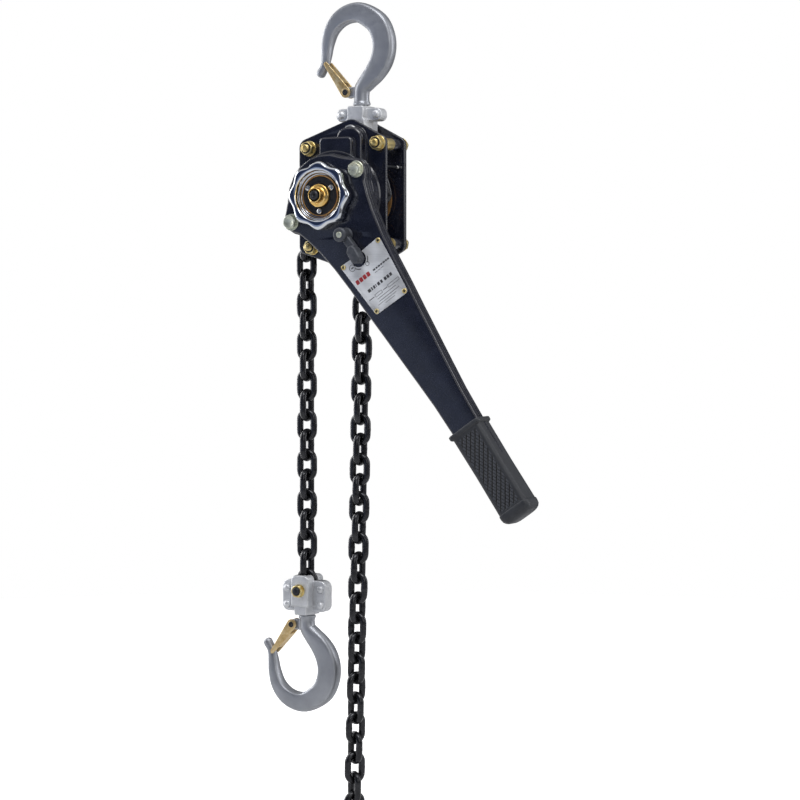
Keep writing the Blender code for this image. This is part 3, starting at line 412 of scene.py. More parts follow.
def corner_arc(before, point, after, radius, steps):
    """An arc of up to the radius in place of a corner, or the corner where none fits."""
    corner = Vector(point)
    first, second = Vector(before) - corner, Vector(after) - corner
    first_run, second_run = first.length, second.length
    if first_run < 1e-6 or second_run < 1e-6:
        return [tuple(corner)]
    first, second = first / first_run, second / second_run
    half = acos(max(-1.0, min(1.0, first.dot(second)))) / 2
    if half > radians(88) or half < radians(3):
        return [tuple(corner)]
    reach = min(radius / tan(half), 0.46 * first_run, 0.46 * second_run)
    radius = reach * tan(half)
    centre = corner + (first + second).normalized() * (radius / sin(half))
    start, end = corner + first * reach - centre, corner + second * reach - centre
    angle = atan2(start.y, start.x)
    turn = (atan2(end.y, end.x) - angle + pi) % (2 * pi) - pi
    return [polar(radius, angle + turn * k / steps, centre) for k in range(steps + 1)]


def round_corners(points, radius, steps=3, closed=False):
    """Rounds a line of points; a point's third value replaces the radius."""
    out = []
    last = len(points) - 1
    for i, point in enumerate(points):
        own = point[2] if len(point) > 2 else radius
        if own <= 0 or (not closed and i in (0, last)):
            out.append(tuple(Vector(point[:2])))
        else:
            after = points[(i + 1) % len(points)]
            out += corner_arc(points[i - 1][:2], point[:2], after[:2], own, steps)
    return out


def fillet(corners, steps=8):
    """A closed loop from corners (x, z, radius)."""
    return round_corners(corners, 0.0, steps, closed=True)


def symmetric(x, rows, steps=8):
    """A loop even about x. The rows are (half-width, z, corner radius), bottom to top."""
    left, right = ([(x + side * row[0], *row[1:]) for row in rows] for side in (-1, 1))
    return fillet(left[:1] + right + left[:0:-1], steps)


def spaced(loop, step):
    """The loop with points added so that none are much further apart than the step."""
    out = []
    for start, end in zip(loop, loop[1:] + loop[:1]):
        start, end = Vector(start), Vector(end)
        count = max(1, int((end - start).length / step))
        out += [tuple(start.lerp(end, i / count)) for i in range(count)]
    return out


def inset(loop, distance):
    """The loop moved inwards, point by point."""
    area = sum(a[0] * b[1] - b[0] * a[1] for a, b in zip(loop, loop[1:] + loop[:1]))
    side = 1.0 if area > 0 else -1.0

    def inward(start, end):
        run = end - start
        return Vector((-run.y, run.x)).normalized() * side

    out = []
    for i, point in enumerate(loop):
        before, here, after = Vector(loop[i - 1]), Vector(point), Vector(loop[(i + 1) % len(loop)])
        if (here - before).length < 1e-5 or (after - here).length < 1e-5:
            out.append(tuple(here + inward(before, after) * distance))
            continue
        first = inward(before, here)
        middle = first + inward(here, after)
        middle = middle.normalized() if middle.length > 1e-6 else first
        out.append(tuple(here + middle * (distance / max(0.5, middle.dot(first)))))
    return out


# ---------------------------------------------------------------- shapes, as (points, faces)
def loft(rings, closed=False):
    count = len(rings[0])
    points = [point for ring in rings for point in ring]
    faces = []
    for i in range(len(rings) if closed else len(rings) - 1):
        a, b = i * count, ((i + 1) % len(rings)) * count
        faces += [(a + k, a + (k + 1) % count, b + (k + 1) % count, b + k) for k in range(count)]
    if not closed:
        top = (len(rings) - 1) * count
        faces += [tuple(range(count - 1, -1, -1)), tuple(top + k for k in range(count))]
    return points, faces


def stack(levels, closed=False):
    """A loft of (y, loop) levels."""
    return loft([[(x, y, z) for x, z in loop] for y, loop in levels], closed)


def discs(rows, centre=AXIS, count=72, start=0.0):
    """Round levels from rows of (radius, y)."""
    return [(y, circle(centre, radius, count, start)) for radius, y in rows]


def turned(profile, centre=AXIS, count=64, closed=False, corner=0.0):
    """Turned about an axis along Y. The profile is (radius, y[, corner radius])."""
    return stack(discs(round_corners(profile, corner, 3, closed), centre, count), closed)


def rod(profile, centre=AXIS, count=64, corner=0.0):
    """Turned, with flat ends that reach the axis."""
    ends = [(CORE, profile[k][1]) for k in (0, -1)]
    return turned(ends[:1] + profile + ends[1:], centre, count, corner=corner)


def rim(loop, face, into, radius, steps, base=0.0, grow=1):
    """Levels of a rounded edge, from the face at y into the body (1 or -1 along Y)."""
    arc = [(0.0, 0.0)]
    if radius > 0:
        angles = [pi / 2 * k / steps for k in range(steps + 1)]
        arc = [(radius * (1 - sin(angle)), radius * (1 - cos(angle))) for angle in angles]
    return [(face + into * rise, inset(loop, base + grow * inward)) for inward, rise in arc]


def shell(sides):
    """A solid from nested walls of (y, loop) levels: the outer wall first, then the holes."""
    points, faces, first, last = [], [], [], []
    for levels in sides:
        count = len(levels[0][1])
        at = len(points)
        for y, loop in levels:
            points += [(x, y, z) for x, z in loop]
        for i in range(len(levels) - 1):
            a, b = at + i * count, at + (i + 1) * count
            faces += [(a + k, a + (k + 1) % count, b + (k + 1) % count, b + k)
                      for k in range(count)]
        first.append((at, levels[0][1]))
        last.append((at + (len(levels) - 1) * count, levels[-1][1]))
    for ends in (first, last):
        index = [at + k for at, loop in ends for k in range(len(loop))]
        flat = [[Vector((x, z, 0.0)) for x, z in loop] for _, loop in ends]
        faces += [tuple(index[i] for i in face) for face in tessellate_polygon(flat)]
    return points, faces


def plate(outer, front, back, edge, steps=4, holes=(), hole_edge=0.25):
    """A plate from y = front to y = back, with rounded edges and through holes."""
    def wall(loop, radius, count, grow=1):
        return (rim(loop, front, 1, radius, count, grow=grow)
                + rim(loop, back, -1, radius, count, grow=grow)[::-1])

    return shell([wall(outer, edge, steps)] + [wall(hole, hole_edge, 2, -1) for hole in holes])


def pan(outer, face, mouth, wall, bend, flange, flange_thick, holes=(), steps=5):
    """A pressed pan: its face at y = face, open at y = mouth, with a flange at the mouth."""
    into = 1.0 if mouth > face else -1.0
    foot = mouth - into * flange_thick
    levels = rim(outer, face, into, bend, steps)
    for rise, spread in ((-1.4, 0.0), (-0.5, 0.12), (-0.1, 0.45), (0.0, 0.85), (0.3, 1.0)):
        levels.append((foot + into * rise, inset(outer, -spread * flange)))
    levels += [(mouth - into * 0.25, inset(outer, -flange)), (mouth, inset(outer, -flange + 0.25)),
               (mouth, inset(outer, wall))]
    floor_y = face + into * wall
    levels += rim(outer, floor_y, into, max(0.4, bend - wall), 2, base=wall)[::-1]
    return shell([levels] + [rim(hole, face, into, 0.25, 2, grow=-1) + [(floor_y, hole)]
                             for hole in holes])


def hex_ring(centre, radius, start, count=72, cap=99.0):
    """A hexagon with its corners cut back to the cap radius."""
    flat = radius * cos(pi / 6)
    out = []
    for k in range(count):
        angle = 2 * pi * k / count
        reach = min(flat / cos((angle % (pi / 3)) - pi / 6), cap)
        out.append(polar(reach, angle + start, centre))
    return out


def hexagon(centre, radius, inner, outer, start=0.0):
    """Levels of a hexagon from y = inner to outer, with its corners turned off at outer."""
    out = 1.0 if outer > inner else -1.0
    flat = radius * cos(pi / 6)
    steps = (0.0, 0.1, 0.22, 0.36, 0.55, 0.8)
    levels = [(inner + out * step, hex_ring(centre, radius, start)) for step in steps]
    return levels + [(outer - out * step,
                      hex_ring(centre, radius, start, cap=0.95 * flat + 1.5 * step))
                     for step in reversed(steps)]


def thread_end(centre, tip, root):
    """A threaded end from its free tip back to y = root."""
    lead, half_pitch, depth = 0.9, 0.625, 0.50
    profile = [(CORE, tip), (THREAD_R - 1.15, tip), (THREAD_R - 0.75, tip + 0.25),
               (THREAD_R - 0.30, tip + 0.75)]
    for k in range(int((root - tip - lead) / half_pitch) + 1):
        profile.append((THREAD_R - (depth if k % 2 else 0.0), tip + lead + half_pitch * k))
    return turned(profile + [(THREAD_R, root)], centre, 48)


def dome(centre, y, side, radius):
    """A rivet head that rises from y towards the side (1 or -1)."""
    height, foot = 3.6, 0.25
    profile = [(radius, y - side * 0.8)]
    profile += [(radius * cos(pi / 2 * k / 7),
                 y + side * (foot + (height - foot) * sin(pi / 2 * k / 7))) for k in range(7)]
    return turned(profile + [(CORE, y + side * height)], centre, 32)


def moved(shape, change):
    return [change(point) for point in shape[0]], shape[1]


# ---------------------------------------------------------------- objects
def add_object(name, shapes):
    """A mesh object from closed shapes, each a shape or (shape, index of its material)."""
    mesh = bpy.data.meshes.new(name)
    build = bmesh.new()
    for item in shapes:
        (points, faces), index = item if isinstance(item[1], int) else (item, 0)
        verts = [build.verts.new(to_scene(point)) for point in points]
        made = []
        for face in faces:
            # A face that repeats a vertex or another face is refused, and is left out.
            try:
                new_face = build.faces.new([verts[i] for i in face])
            except ValueError:
                continue
            new_face.material_index = index
            made.append(new_face)
        bmesh.ops.recalc_face_normals(build, faces=made)
    build.to_mesh(mesh)
    build.free()
    obj = bpy.data.objects.new(name, mesh)
    bpy.context.scene.collection.objects.link(obj)
    return obj


def smooth(obj, sharp=34):
    obj.data.shade_smooth()
    obj.data.set_sharp_from_angle(angle=radians(sharp))


def piece(node, shapes, materials, body, sharp=34, name=None):
    """A piece that rides on a body and replaces the CAD node."""
    obj = add_object(f"{name or node}_fine", shapes)
    obj.data.validate()
    for material in materials:
        obj.data.materials.append(material)
    smooth(obj, sharp)
    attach(obj, body)
    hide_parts(node)
    return obj


def cut_with(obj, *tools):
    for tool in tools:
        cutter = add_object("cutter", [tool])
        cut = obj.modifiers.new("cut", "BOOLEAN")
        cut.operation, cut.object, cut.solver = "DIFFERENCE", cutter, "EXACT"
        cut.use_self = True
        graph = bpy.context.evaluated_depsgraph_get()
        graph.update()
        done = bpy.data.meshes.new_from_object(obj.evaluated_get(graph))
        obj.modifiers.clear()
        obj.data = done
        bpy.data.objects.remove(cutter)
    smooth(obj)


# ---------------------------------------------------------------- side plates
# Corners: x, z, radius.
OUTLINE = fillet([(-51.5, -56.0, 9), (11.0, -76.0, 16), (51.5, -54.0, 9), (51.5, 60.0, 8),
                  (11.0, 81.0, 13), (-51.5, 58.5, 9)], 10)
BOLT_HOLES = [circle(centre, 4.4, 32) for centre, _ in BOLTS.values()]
BORES = [circle(AXIS, 16.35, 64), circle(YOKE_PIN, 5.3, 32), circle(SLACK_ROLLER, 3.3, 24)]
GEAR_BORES = [circle((0, side * GEAR_SPACING), 4.4, 24) for side in (1, -1)]
PAWL_PINS = [polar(35.5, radians(angle)) for angle in (110, 290)]
POST = (45.0, 31.5)  # a thin post between the plates

piece("front_side_plate",
      [plate(OUTLINE, -PLATE_OUTER, -PLATE_INNER, 1.5, 5, BOLT_HOLES + BORES, 0.3)]
      + [rod([(2.9, -36.5), (2.9, -19.5)], centre, 24, 0.3) for centre in PAWL_PINS],
      [PAINT], "hoist_frame")
piece("rear_side_plate",
      [plate(OUTLINE, PLATE_INNER, PLATE_OUTER, 1.5, 5, BOLT_HOLES + BORES + GEAR_BORES, 0.3),
       (rod([(1.3, -17.6), (1.3, 13.0)], POST, 20, 0.2), 1),
       (rod([(1.7, 12.9, 0.5), (1.7, 18.2)], POST, 24, 0.4), 2)],
      [PAINT, DARK, SCREW], "hoist_frame")

# ---------------------------------------------------------------- brake cover, at the front
BOX = fillet([(-17.6, 12, 0), (21, 12, 0), (21, 61, 5.5), (-17.6, 61, 5.5)])
ARCH = fillet([(-3, 20, 0), (28, 20, 0), (28, 71.5, 13), (-3, 71.5, 13)], 10)
DISH = [(46.0, -SEAT_Y, 0.3), (46.0, -23.4, 0.5), (44.2, -24.6, 1.0), (43.4, -37.6, 1.2),
        (47.0, -38.4, 0.5), (47.0, -41.4, 1.1), (45.0, -42.0, 0.6), (36.0, -42.0, 0.8),
        (34.5, -41.2, 0.6), (29.0, -41.2, 0.6), (27.5, -42.0, 0.6), (24.9, -42.0, 0.5),
        (24.9, -40.2, 0.3), (41.6, -39.6, 1.5), (42.0, -SEAT_Y, 0.3)]
piece("brake_cover",
      [turned(DISH, AXIS, 128, True, 0.4),
       pan(BOX, -40.0, -SEAT_Y, wall=1.8, bend=2.6, flange=1.6, flange_thick=1.0),
       pan(ARCH, -31.4, -SEAT_Y, wall=1.6, bend=3.4, flange=2.0, flange_thick=0.9)],
      [PAINT], "hoist_frame")

# ---------------------------------------------------------------- gear cover, at the back
COVER_R = 30.0
COVER = [polar(COVER_R, radians(angle), (0.0, GEAR_SPACING * side))
         for side, start in ((1, 0), (-1, 180)) for angle in range(start, start + 181, 5)]
# Levels: y, inset from the loop.
COVER_LEVELS = [(23.6, -2.2), (24.4, -2.2), (24.8, -1.4), (25.4, -0.5), (26.6, 0.0), (37.5, 0.4)]
COVER_LEVELS += [(44.0 - 6.0 * (1 - sin(radians(angle))), 0.4 + 6.0 * (1 - cos(radians(angle))))
                 for angle in range(15, 91, 15)]
COVER_LEVELS += [(44.0, 12.0), (43.2, 13.0), (43.2, 16.0), (43.2, 24.0), (43.2, 29.96),
                 (41.8, 29.96), (41.8, 24.0), (41.6, 15.0), (42.0, 7.0), (38.0, 2.0), (23.6, 1.6)]
piece("gear_cover",
      [plate(inset(OUTLINE, 0.8), SEAT_Y, 24.3, 0.8, 3, BOLT_HOLES, 0.2),
       stack([(y, inset(COVER, distance)) for y, distance in COVER_LEVELS], closed=True)],
      [PAINT], "hoist_frame")


# ---------------------------------------------------------------- stay bolts and their nuts
def stay_bolt(centre, turn, shouldered):
    """The head is at the back. All but the lower left bolt have a shoulder and a sleeve; the sleeve
    is black, painted shade on the rear part of the shoulder.
    """
    shank = [(3.9, -24.5), (3.9, -17.7)]
    if shouldered:
        shank += [(6.0, -17.7, 0.4), (6.0, 2.5, 0.5), (5.2, 3.0, 0.2), (5.2, 17.7, 0.4),
                  (3.9, 17.7)]
    head = hexagon(centre, 7.4, 25.6, 30.2, turn)
    head += discs([(5.4, 30.2), (4.9, 29.9), (0.05, 29.9)], centre, start=turn)
    washer = [(4.3, 24.4), (8.2, 24.4, 0.3), (8.2, 25.6, 0.4), (4.3, 25.6)]
    shapes = [rod(shank + [(3.9, 26.0)], centre, 48, 0.3), stack(head),
              turned(washer, centre, 48, True), thread_end(centre, -34.0, -24.4)]
    if shouldered:
        # The black sleeve is painted shade on the rear part of the shoulder.
        sleeve = [(5.1, 3.2), (5.9, 3.2, 0.4), (5.9, 17.7, 0.4), (5.1, 17.7)]
        shapes.append((turned(sleeve, centre, 48, True), 1))
    return shapes


def front_nut(centre, turn):
    """A flanged nut with a dark ring in its front; the ring is painted shade where the bolt's end
    leaves the nut.
    """
    nut = discs([(4.2, -SEAT_Y), (7.6, -SEAT_Y), (7.9, -22.6), (7.9, -23.8), (7.5, -24.2)],
                centre, start=turn)
    nut += hexagon(centre, 7.3, -24.2, -30.9, turn)
    nut += discs([(5.0, -30.9), (4.35, -30.4), (4.25, -24.0)], centre, start=turn)
    # Dark ring: painted shade at the thread root in the nut's front.
    ring = [(4.15, -30.6), (4.15, -31.25), (5.5, -31.25, 0.2), (5.5, -30.6)]
    return [stack(nut, closed=True), (turned(ring, centre, 48, True), 1)]


for corner, (centre, turn) in BOLTS.items():
    piece(f"stay_bolt_{corner}", stay_bolt(centre, turn, corner != "lower_left"),
          [ZINC, PAINT], "hoist_frame")
    piece(f"front_nut_{corner}", front_nut(centre, turn),
          [ZINC, DARK], "hoist_frame")

# ---------------------------------------------------------------- top hook pin and chain rollers
piece("top_hook_pin",
      [turned([(CORE, -26.4), (6.6, -26.4, 0.5), (8.0, -25.6, 0.6), (8.0, -SEAT_Y, 0.2),
               (5.0, -SEAT_Y), (5.0, 21.3, 0.5), (CORE, 21.9)], YOKE_PIN, 48)],
      [STEEL], "hoist_frame")
piece("load_guide_roller",
      [turned([(5.6, -17.5, 0.6), (5.6, -6.0, 0.5), (4.95, -5.0, 0.8), (4.95, 5.0, 0.8),
               (5.6, 6.0, 0.5), (5.6, 17.5, 0.6), (4.2, 17.5), (4.2, -17.5)],
              BOLTS["lower_left"][0], 48, True)],
      [STEEL], "load_roller")
piece("slack_guide_roller",
      [rod([(3.0, -21.6, 0.3), (3.0, -17.5), (4.6, -17.5, 0.4), (4.6, 17.5, 0.4), (3.0, 17.5),
            (3.0, 21.6, 0.3)], SLACK_ROLLER, 40)],
      [STEEL], "slack_roller")

# ---------------------------------------------------------------- load sheave
LUG_R, SEAT_R, LUGS = 36.0, 28.0, 5


def lugged(count=120):
    """The pocketed loop of the sheave, with its lugs evenly round it."""
    out = []
    for k in range(count):
        angle = 2 * pi * k / count
        off_lug = abs(((angle / (2 * pi / LUGS)) + 0.5) % 1.0 - 0.5) * 2
        rise = max(0.0, 1 - off_lug / 0.42) ** 1.3
        out.append(polar(SEAT_R + (LUG_R - SEAT_R) * rise, WRAP + angle))
    return out


def sheave_discs(rows):
    return discs(rows, AXIS, 120, WRAP)


pockets = lugged()
half = sheave_discs([(11.0, -14.8), (38.4, -14.8), (38.9, -14.5), (39.0, -14.0), (38.8, -13.2),
                     (38.2, -12.9)])
half += [(-12.9, pockets), (-5.2, pockets), (-4.8, inset(pockets, 0.4))]
half += sheave_discs([(21.5, -4.8), (20.5, -4.0)])
piece("load_sheave",
      [stack(sheave_discs([(10.6, -22.6), (11.0, -22.2)]) + half
             + [(-y, loop) for y, loop in reversed(half)]
             + sheave_discs([(11.0, 23.4), (9.0, 23.4), (9.0, 31.6), (7.0, 31.6), (7.0, -22.6)]),
             closed=True)],
      [BRONZE], "load_sheave")


# ---------------------------------------------------------------- drive shaft
def teeth(count, module, phase, flank_steps=4):
    """A gear outline, with the flanks of each tooth in steps from root to tip."""
    pitch_radius = count * module / 2
    tip_radius, root_radius = pitch_radius + 0.72 * module, pitch_radius - 1.12 * module
    step = 2 * pi / count
    tip, root = step * 0.102, step * 0.272  # half the tooth's angle at each
    out = []
    for k in range(count):
        middle = phase + k * step
        flank = [(root_radius + (tip_radius - root_radius) * j / flank_steps,
                  root + (tip - root) * (j / flank_steps) ** 0.8)
                 for j in range(flank_steps + 1)]
        out += [polar(radius, middle - angle) for radius, angle in flank]
        out += [polar(radius, middle + angle) for radius, angle in reversed(flank)]
    return out


piece("pinion_shaft",
      [turned([(CORE, -79.6), (0.9, -80.3), (1.5, -81.3), (1.9, -81.6), (3.4, -81.6, 0.5),
               (4.7, -80.6, 0.4), (4.7, -62.0), (6.6, -62.0), (6.6, 33.0), (5.0, 33.0),
               (5.0, 41.0, 0.3), (4.6, 41.4), (CORE, 41.4)]),
       plate(teeth(PINION_TEETH, GEAR_MODULE, radians(90)), 33.2, 38.2, 0.2, 2)],
      [DARK], "drive_shaft")

# ---------------------------------------------------------------- handwheel
# Levels: y, radius, depth of the lobes.
WHEEL = [(-61.2, 10.0, 0), (-61.2, 27.0, 0), (-61.5, 29.0, 0), (-62.0, 31.8, 1.1),
         (-62.8, 33.4, 1.4), (-63.8, 34.4, 1.55), (-65.0, 34.85, 1.6), (-67.5, 34.9, 1.6),
         (-70.2, 34.9, 1.6), (-71.4, 34.8, 1.6), (-72.4, 34.4, 1.6), (-73.2, 33.8, 1.55),
         (-73.8, 33.1, 1.5), (-74.15, 32.3, 1.4), (-74.3, 31.6, 1.3), (-74.38, 31.0, 1.2),
         (-74.4, 30.4, 1.1), (-74.4, 27.4, 0), (-74.36, 27.0, 0), (-74.15, 26.4, 0),
         (-73.7, 25.9, 0), (-73.1, 25.5, 0), (-72.4, 25.2, 0), (-70.4, 24.9, 0),
         (-70.1, 24.6, 0), (-70.0, 24.0, 0), (-69.9, 23.4, 0), (-69.6, 23.1, 0),
         (-67.4, 22.8, 0), (-66.9, 22.5, 0), (-66.7, 22.0, 0), (-66.6, 21.6, 0),
         (-65.3, 21.4, 0), (-65.2, 7.2, 0), (-64.9, 6.9, 0), (-57.3, 6.9, 0),
         (-57.3, 9.3, 0), (-61.0, 9.5, 0)]


def lobed(radius, depth, lobes=8, count=192):
    angles = [2 * pi * k / count for k in range(count)]
    return [polar(radius - depth + depth * cos(lobes * angle), angle) for angle in angles]


piece("handwheel", [stack([(y, lobed(radius, depth)) for y, radius, depth in WHEEL], closed=True)],
      [CHROME], "handwheel", sharp=40)


def socket_screw(centre):
    levels = discs([(2.8, -67.9), (2.8, -69.0), (2.6, -69.5), (2.1, -69.75), (1.6, -69.8)],
                   centre, 36)
    levels += [(-69.8, hex_ring(centre, 1.5, 0.3, 36)), (-68.7, hex_ring(centre, 1.4, 0.3, 36))]
    return stack(levels + discs([(0.05, -68.5)], centre, 36))


STOP_DISC = [(7.6, -66.6), (19.6, -66.6, 0.2), (19.6, -67.9, 0.4), (18.5, -68.0, 0.2),
             (18.1, -67.5, 0.2), (13.5, -67.5, 0.2), (13.1, -68.1, 0.2), (12.4, -68.1, 0.2),
             (12.0, -67.5, 0.2), (11.4, -67.5, 0.2), (11.0, -68.2, 0.2), (7.6, -68.2, 0.2)]
STOP_RING = [(19.7, -66.4), (20.9, -66.4, 0.2), (20.9, -67.9, 0.4), (20.5, -68.2, 0.3),
             (19.7, -68.0, 0.2)]
piece("handwheel_stop_plate",
      [turned(STOP_DISC, AXIS, 96, True)]
      + [(socket_screw(polar(15.7, radians(angle))), 1) for angle in (30, 150, 270)]
      + [(turned(STOP_RING, AXIS, 96, True), 2)],
      [DARK, SCREW, BRONZE], "handwheel")
piece("free_wheel_spring",
      [turned([(11.8, -68.4, 0.2), (11.8, -71.6, 1.2), (9.0, -72.6, 0.8), (7.8, -73.4, 0.6),
               (7.4, -79.8, 0.4), (6.8, -80.5, 0.3), (6.2, -79.9, 0.2), (6.0, -77.0, 0.3),
               (5.1, -76.6, 0.2), (5.1, -68.4)], AXIS, 96, True)],
      [BUSH], "handwheel", sharp=40, name="free_wheel_bush")


# ---------------------------------------------------------------- lever
def lever_point(along, across):
    """(x, z) of a place down the lever from the shaft, and to the right of its middle."""
    return (along * sin(LEVER_ANGLE) + across * cos(LEVER_ANGLE),
            -along * cos(LEVER_ANGLE) + across * sin(LEVER_ANGLE))


def on_lever(shape):
    """Places a shape that is drawn in (along, y, across)."""
    def place(point):
        x, z = lever_point(point[0], point[2])
        return x, point[1], z

    return moved(shape, place)


# Half the lever's outline: along, across. The first point only aims the curve.
LEVER_HALF = [(-41.6, 0.0), (-41.0, 8.0), (-37.8, 18.0), (-31.0, 29.0), (-20.5, 38.5),
              (-11.5, 48.0), (-6.5, 53.4), (1.0, 55.0), (8.0, 52.0), (15.0, 46.0), (28.0, 41.5),
              (45.0, 37.0), (68.0, 33.0), (95.0, 30.0), (125.0, 27.8), (155.0, 25.0),
              (186.0, 22.4), (216.0, 19.8), (246.0, 17.4), (281.0, 16.2), (320.0, 15.8)]
half_edge = round_corners(LEVER_HALF, 9.0, 6)[1:]
LEVER_LOOP = spaced([lever_point(along, across) for along, across in half_edge]
                    + [lever_point(along, -across) for along, across in reversed(half_edge)], 6.0)
SELECTOR = lever_point(48.0, -1.0)
SHELL_GAP = 0.12  # from the parting plane to each shell

for node, face, side, holes in (
        ("lever_front_shell", -60.5, -1, [circle(AXIS, 12.5, 48), circle(SELECTOR, 3.4, 24)]),
        ("lever_rear_shell", -43.4, 1, [circle(AXIS, 15.5, 48)])):
    piece(node, [pan(LEVER_LOOP, face, LEVER_Y + side * SHELL_GAP, wall=2.0, bend=2.4,
                     flange=1.5, flange_thick=1.25, holes=holes, steps=6)],
          [PAINT], "lever", sharp=30)

for node, across, turn in (("lever_bolt_right", 46.0, 0.5), ("lever_bolt_left", -46.0, 0.3)):
    centre = lever_point(0.0, across)
    levels = discs([(0.05, -43.7), (3.8, -43.7), (4.2, -44.1), (4.2, -60.6), (8.2, -60.6),
                    (8.5, -61.0), (8.5, -61.5), (8.1, -61.9)], centre, start=turn)
    levels += hexagon(centre, 7.3, -61.9, -66.6, turn)
    levels += discs([(5.2, -66.6), (4.8, -66.35), (0.05, -66.3)], centre, start=turn)
    piece(node, [stack(levels)], [PALE], "lever")

# ---------------------------------------------------------------- grip
# A rubber sleeve with a collar, a grooved front and back, and a flared end.
# Stations: along the lever, half-width, half-depth, corner radius.
GRIP = [(281.0, 17.6, 13.4, 4.0), (281.25, 18.9, 14.7, 4.0), (282.0, 19.6, 15.3, 4.2),
        (283.6, 19.6, 15.4, 4.4), (285.0, 19.5, 15.2, 4.2), (285.9, 18.7, 14.6, 4.2),
        (286.4, 17.4, 14.2, 4.5), (287.4, 17.2, 14.1, 4.6), (330.0, 16.8, 13.9, 4.6),
        (374.0, 17.0, 14.2, 4.6), (375.0, 17.0, 14.2, 4.6), (375.6, 17.5, 14.7, 4.6),
        (376.6, 17.7, 14.9, 4.8), (379.0, 17.7, 14.9, 5.0), (382.0, 17.3, 14.5, 5.2),
        (384.2, 16.1, 13.3, 5.4), (385.6, 14.7, 11.8, 5.4), (386.5, 12.8, 9.9, 5.0),
        (387.0, 10.8, 8.0, 4.4)]
# Places along the lever that get a ring of points.
GRIP_RINGS = [281.0, 281.1, 281.25, 281.6, 282.0, 282.8, 283.6, 284.4, 285.0, 285.5, 285.9,
              286.2, 286.4, 286.8, 287.4]
GRIP_RINGS += [288.0 + 0.72 * k for k in range(int((374.0 - 288.0) / 0.72))]
GRIP_RINGS += [374.0, 374.6, 375.0, 375.3, 375.6, 376.1, 376.6, 377.4, 379.0, 380.5, 382.0,
               383.2, 384.2, 385.0, 385.6, 386.1, 386.5, 386.8, 387.0]
GROOVE, CROSS_GROOVE = 1.15, 0.60  # depths


def grip_size(along):
    for start, stop in zip(GRIP, GRIP[1:]):
        if start[0] <= along <= stop[0]:
            share = (along - start[0]) / (stop[0] - start[0])
            return [a + (b - a) * share for a, b in zip(start[1:], stop[1:])]


def rounded_section(half_width, half_depth, corner, count=200):
    """Evenly spread (across, y, flat); flat is true on the front and back faces."""
    wide, deep = half_width - corner, half_depth - corner
    lengths = [2 * deep, pi / 2 * corner, 2 * wide, pi / 2 * corner] * 2
    out = []
    for k in range(count):
        run = sum(lengths) * k / count
        i = 0
        while run > lengths[i]:
            run -= lengths[i]
            i += 1
        quarter = i // 2
        if i % 2 == 0:
            out.append([(half_width, -deep + run, False), (wide - run, half_depth, True),
                        (-half_width, deep - run, False),
                        (-wide + run, -half_depth, True)][quarter])
        else:
            centre = [(wide, deep), (-wide, deep), (-wide, -deep), (wide, -deep)][quarter]
            out.append((*polar(corner, run / corner + quarter * pi / 2, centre), False))
    return out


def clamp(value):
    return min(1.0, max(0.0, value))


def groove_depth(along, across, inside):
    """Depth of the crossed grooves, which fade out as inside falls to 0."""
    x, z = lever_point(along, across)
    upright = abs((x / WEAVE_PITCH) % 1.0 - 0.5) * 2
    slanted = abs(((x * CROSS_SLANT + z) / CROSS_PITCH) % 1.0 - 0.5) * 2
    main = max(0.0, 1 - (1 - upright) / 0.36)
    cross = max(0.0, 1 - (1 - slanted) / 0.34)
    return max(inside * GROOVE * min(1, main * 1.1), inside * CROSS_GROOVE * min(1, cross * 1.2))


def grip_ring(along):
    half_width, half_depth, corner = grip_size(along)
    length_fade = clamp((along - 289.0) / 1.2) * clamp((373.4 - along) / 1.2)
    ring = []
    for across, y, flat in rounded_section(half_width, half_depth, corner):
        inside = length_fade * clamp(half_width - corner - 0.6 - abs(across))
        cut = 0.0
        if flat and inside > 0:
            cut = groove_depth(along, across if y < 0 else -across, inside)
        x, z = lever_point(along, across)
        ring.append((x, LEVER_Y + (y - copysign(cut, y)), z))
    return ring


piece("lever_grip", [loft([grip_ring(along) for along in GRIP_RINGS])],
      [RUBBER], "lever", sharp=50)

# ---------------------------------------------------------------- data plate
# A brushed plate with a round notch, four rivets, and bars, boxes and arcs for its marks.
NOTCH = (76.0, -3.0)
notch_arc = [(*polar(8.4, radians(angle), NOTCH), 0) for angle in range(-124, 125, 8)]
PLATE_LOOP = fillet([(134.0, -18.6, 2.8), (100.0, -22.0, 0), (70.3, -25.4, 2.8)] + notch_arc
                    + [(70.6, 28.8, 2.8), (100.0, 27.2, 0), (135.3, 24.5, 2.8)])
RIVETS = [(73.2, -22.2), (73.4, 25.8), (131.2, -15.9), (132.3, 21.6)]  # along, across
RIVET = [(2.7, -61.15), (2.6, -61.6), (2.2, -61.95), (1.7, -62.0), (1.35, -61.8), (1.2, -61.2),
         (1.2, -60.7), (2.4, -60.7)]
MARK_FRONT, MARK_BACK = -61.26, -61.1


def mark(loop, edge=0.0, holes=()):
    return on_lever(plate(loop, MARK_FRONT, MARK_BACK, edge, 1, holes, 0.0))


def bar(start, end, left, right, corner=0.1):
    """A bar from start to end along the lever, and from left to right across it."""
    corners = ((start, left), (end, left), (end, right), (start, right))
    return mark(fillet([(*point, corner) for point in corners], 3), 0.03)


def bar_row(start, end, corner, rows):
    """Bars side by side, from rows of (left, width)."""
    return [bar(start, end, left, left + width, corner) for left, width in rows]


def box_marks(start, end, left, right, line=0.45):
    return [bar(start, start + line, left, right), bar(end - line, end, left, right),
            bar(start, end, left, left + line), bar(start, end, right - line, right)]


def arc_bar(start, end, inner=10.0, outer=10.9, steps=8):
    angles = [radians(start + (end - start) * k / steps) for k in range(steps + 1)]
    return mark([polar(inner, angle, NOTCH) for angle in angles]
                + [polar(outer, angle, NOTCH) for angle in reversed(angles)])


